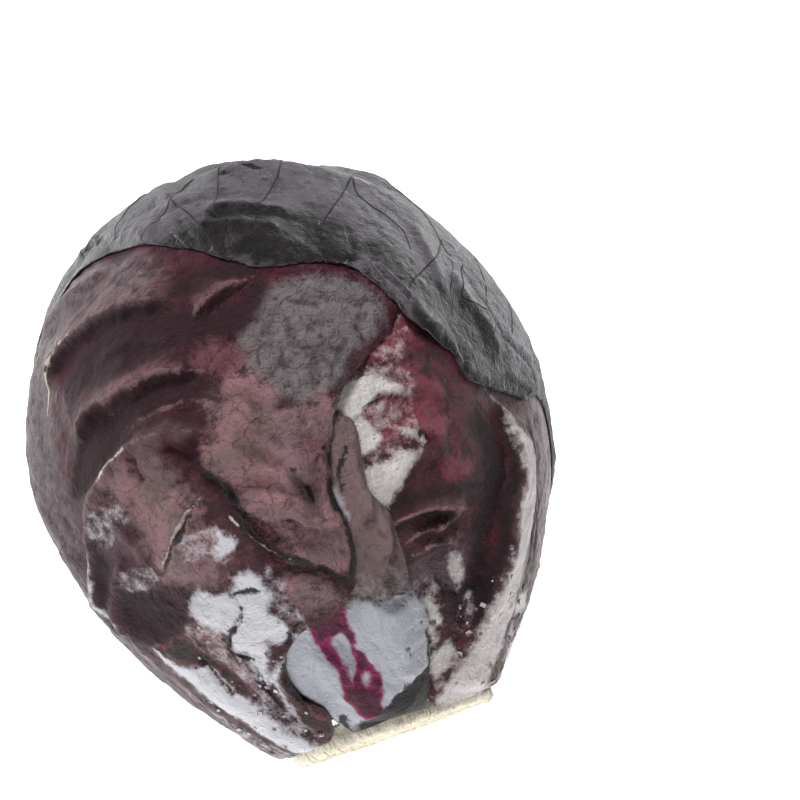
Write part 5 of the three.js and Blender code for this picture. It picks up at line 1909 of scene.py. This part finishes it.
def plain_floor():
    mesh = bpy.data.meshes.new("floor")
    corners = [(x * TABLE_HALF, y * TABLE_HALF, 0) for x, y in ((-1, -1), (1, -1), (1, 1), (-1, 1))]
    mesh.from_pydata(corners, [], [(0, 1, 2, 3)])
    finish, tree, mm = new_finish("lit_white_table")
    speckle = add(tree, "ShaderNodeTexNoise", {"Vector": mm, "Scale": 0.02, "Detail": 2}).outputs["Fac"]
    tints = {0: speckle, 6: paint("eeeeee"), 7: paint("f2f2f2")}
    colour = add(tree, "ShaderNodeMix", tints, data_type="RGBA").outputs[2]
    table = {"Base Color": colour, "Roughness": 0.9}
    table |= {"Emission Color": colour, "Emission Strength": TABLE_GLOW}
    paper = add(tree, "ShaderNodeBsdfPrincipled", table).outputs[0]
    add(tree, "ShaderNodeOutputMaterial", {"Surface": paper})
    mesh.materials.append(finish)
    return placed("floor", mesh)


plain_floor()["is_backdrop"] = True
print("a table of", 2 * TABLE_HALF, "m")

# %% [markdown]
# ## Light
# One soft box above and behind draws the pale rim that a waxy leaf shows. One in front and low
# lights the bare stalks by the stump, and a dim white room fills the rest.

# %% Light
ROOM_GLOW = 0.08


def lamp(name, where, width, height, watts):
    """A soft lamp that faces the middle of the head."""
    light = bpy.data.lights.new(name, "AREA")
    light.shape = "RECTANGLE"
    light.size, light.size_y, light.energy = width, height, watts
    holder = placed(name, light)
    holder.location = HEAD_MIDDLE + where
    holder.rotation_euler = where.to_track_quat("Z", "Y").to_euler()


lamp("soft box behind", UP * 1.25 - LEVEL * 0.75 - rightwards * 0.3, 0.5, 0.4, 25)
lamp("soft box in front", toward_camera - upwards * 1.1 - rightwards * 0.2, 1.2, 1.2, 12)
world = bpy.data.worlds.new("soft white room")
world.use_nodes = True
room = world.node_tree.nodes["Background"]
room.inputs["Color"].default_value = (1, 1, 1, 1)
room.inputs["Strength"].default_value = ROOM_GLOW
bpy.context.scene.world = world
bpy.context.scene.view_settings.view_transform = "Standard"
print("two soft boxes and a white room")

# %% [markdown]
# ## Camera
# The camera looks down at the head from a little to its left, above the stump. The head isn't in
# the middle of the picture, so the camera is moved aside, with its direction kept.

# %% Camera
PICTURE = 800
DISTANCE = 0.9
PIXEL = 0.0003083  # one pixel of the picture, in metres at the middle of the head
HEAD_PIXEL = (292.7, 438.3)  # where the middle of the head is in the picture
right_of_middle, below_middle = (HEAD_PIXEL[i] - PICTURE / 2 for i in (0, 1))
aside = (rightwards * right_of_middle - upwards * below_middle) * PIXEL
camera = bpy.data.cameras.new("camera")
camera.sensor_width = 36
camera.lens = camera.sensor_width * DISTANCE / (PICTURE * PIXEL)
holder = placed("camera", camera)
holder.location = HEAD_MIDDLE + toward_camera * DISTANCE - aside
holder.rotation_euler = toward_camera.to_track_quat("Z", "Y").to_euler()
bpy.context.scene.camera = holder
print(f"camera: {camera.lens:.1f} mm lens, {DISTANCE:.1f} m from the head")

# %% [markdown]
# ## The finished size
# The solids' box and the dressed head's box are both printed. The dressed head has to
# fill the same box as the solids.

# %% Sizes and finish
dressed_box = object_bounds()
boxes = {"cad": cad_box, "visual": dressed_box}
plain = {key: [[float(value) for value in corner] for corner in box] for key, box in boxes.items()}
for key, box in plain.items():
    print(key, [[round(value, 4) for value in corner] for corner in box])
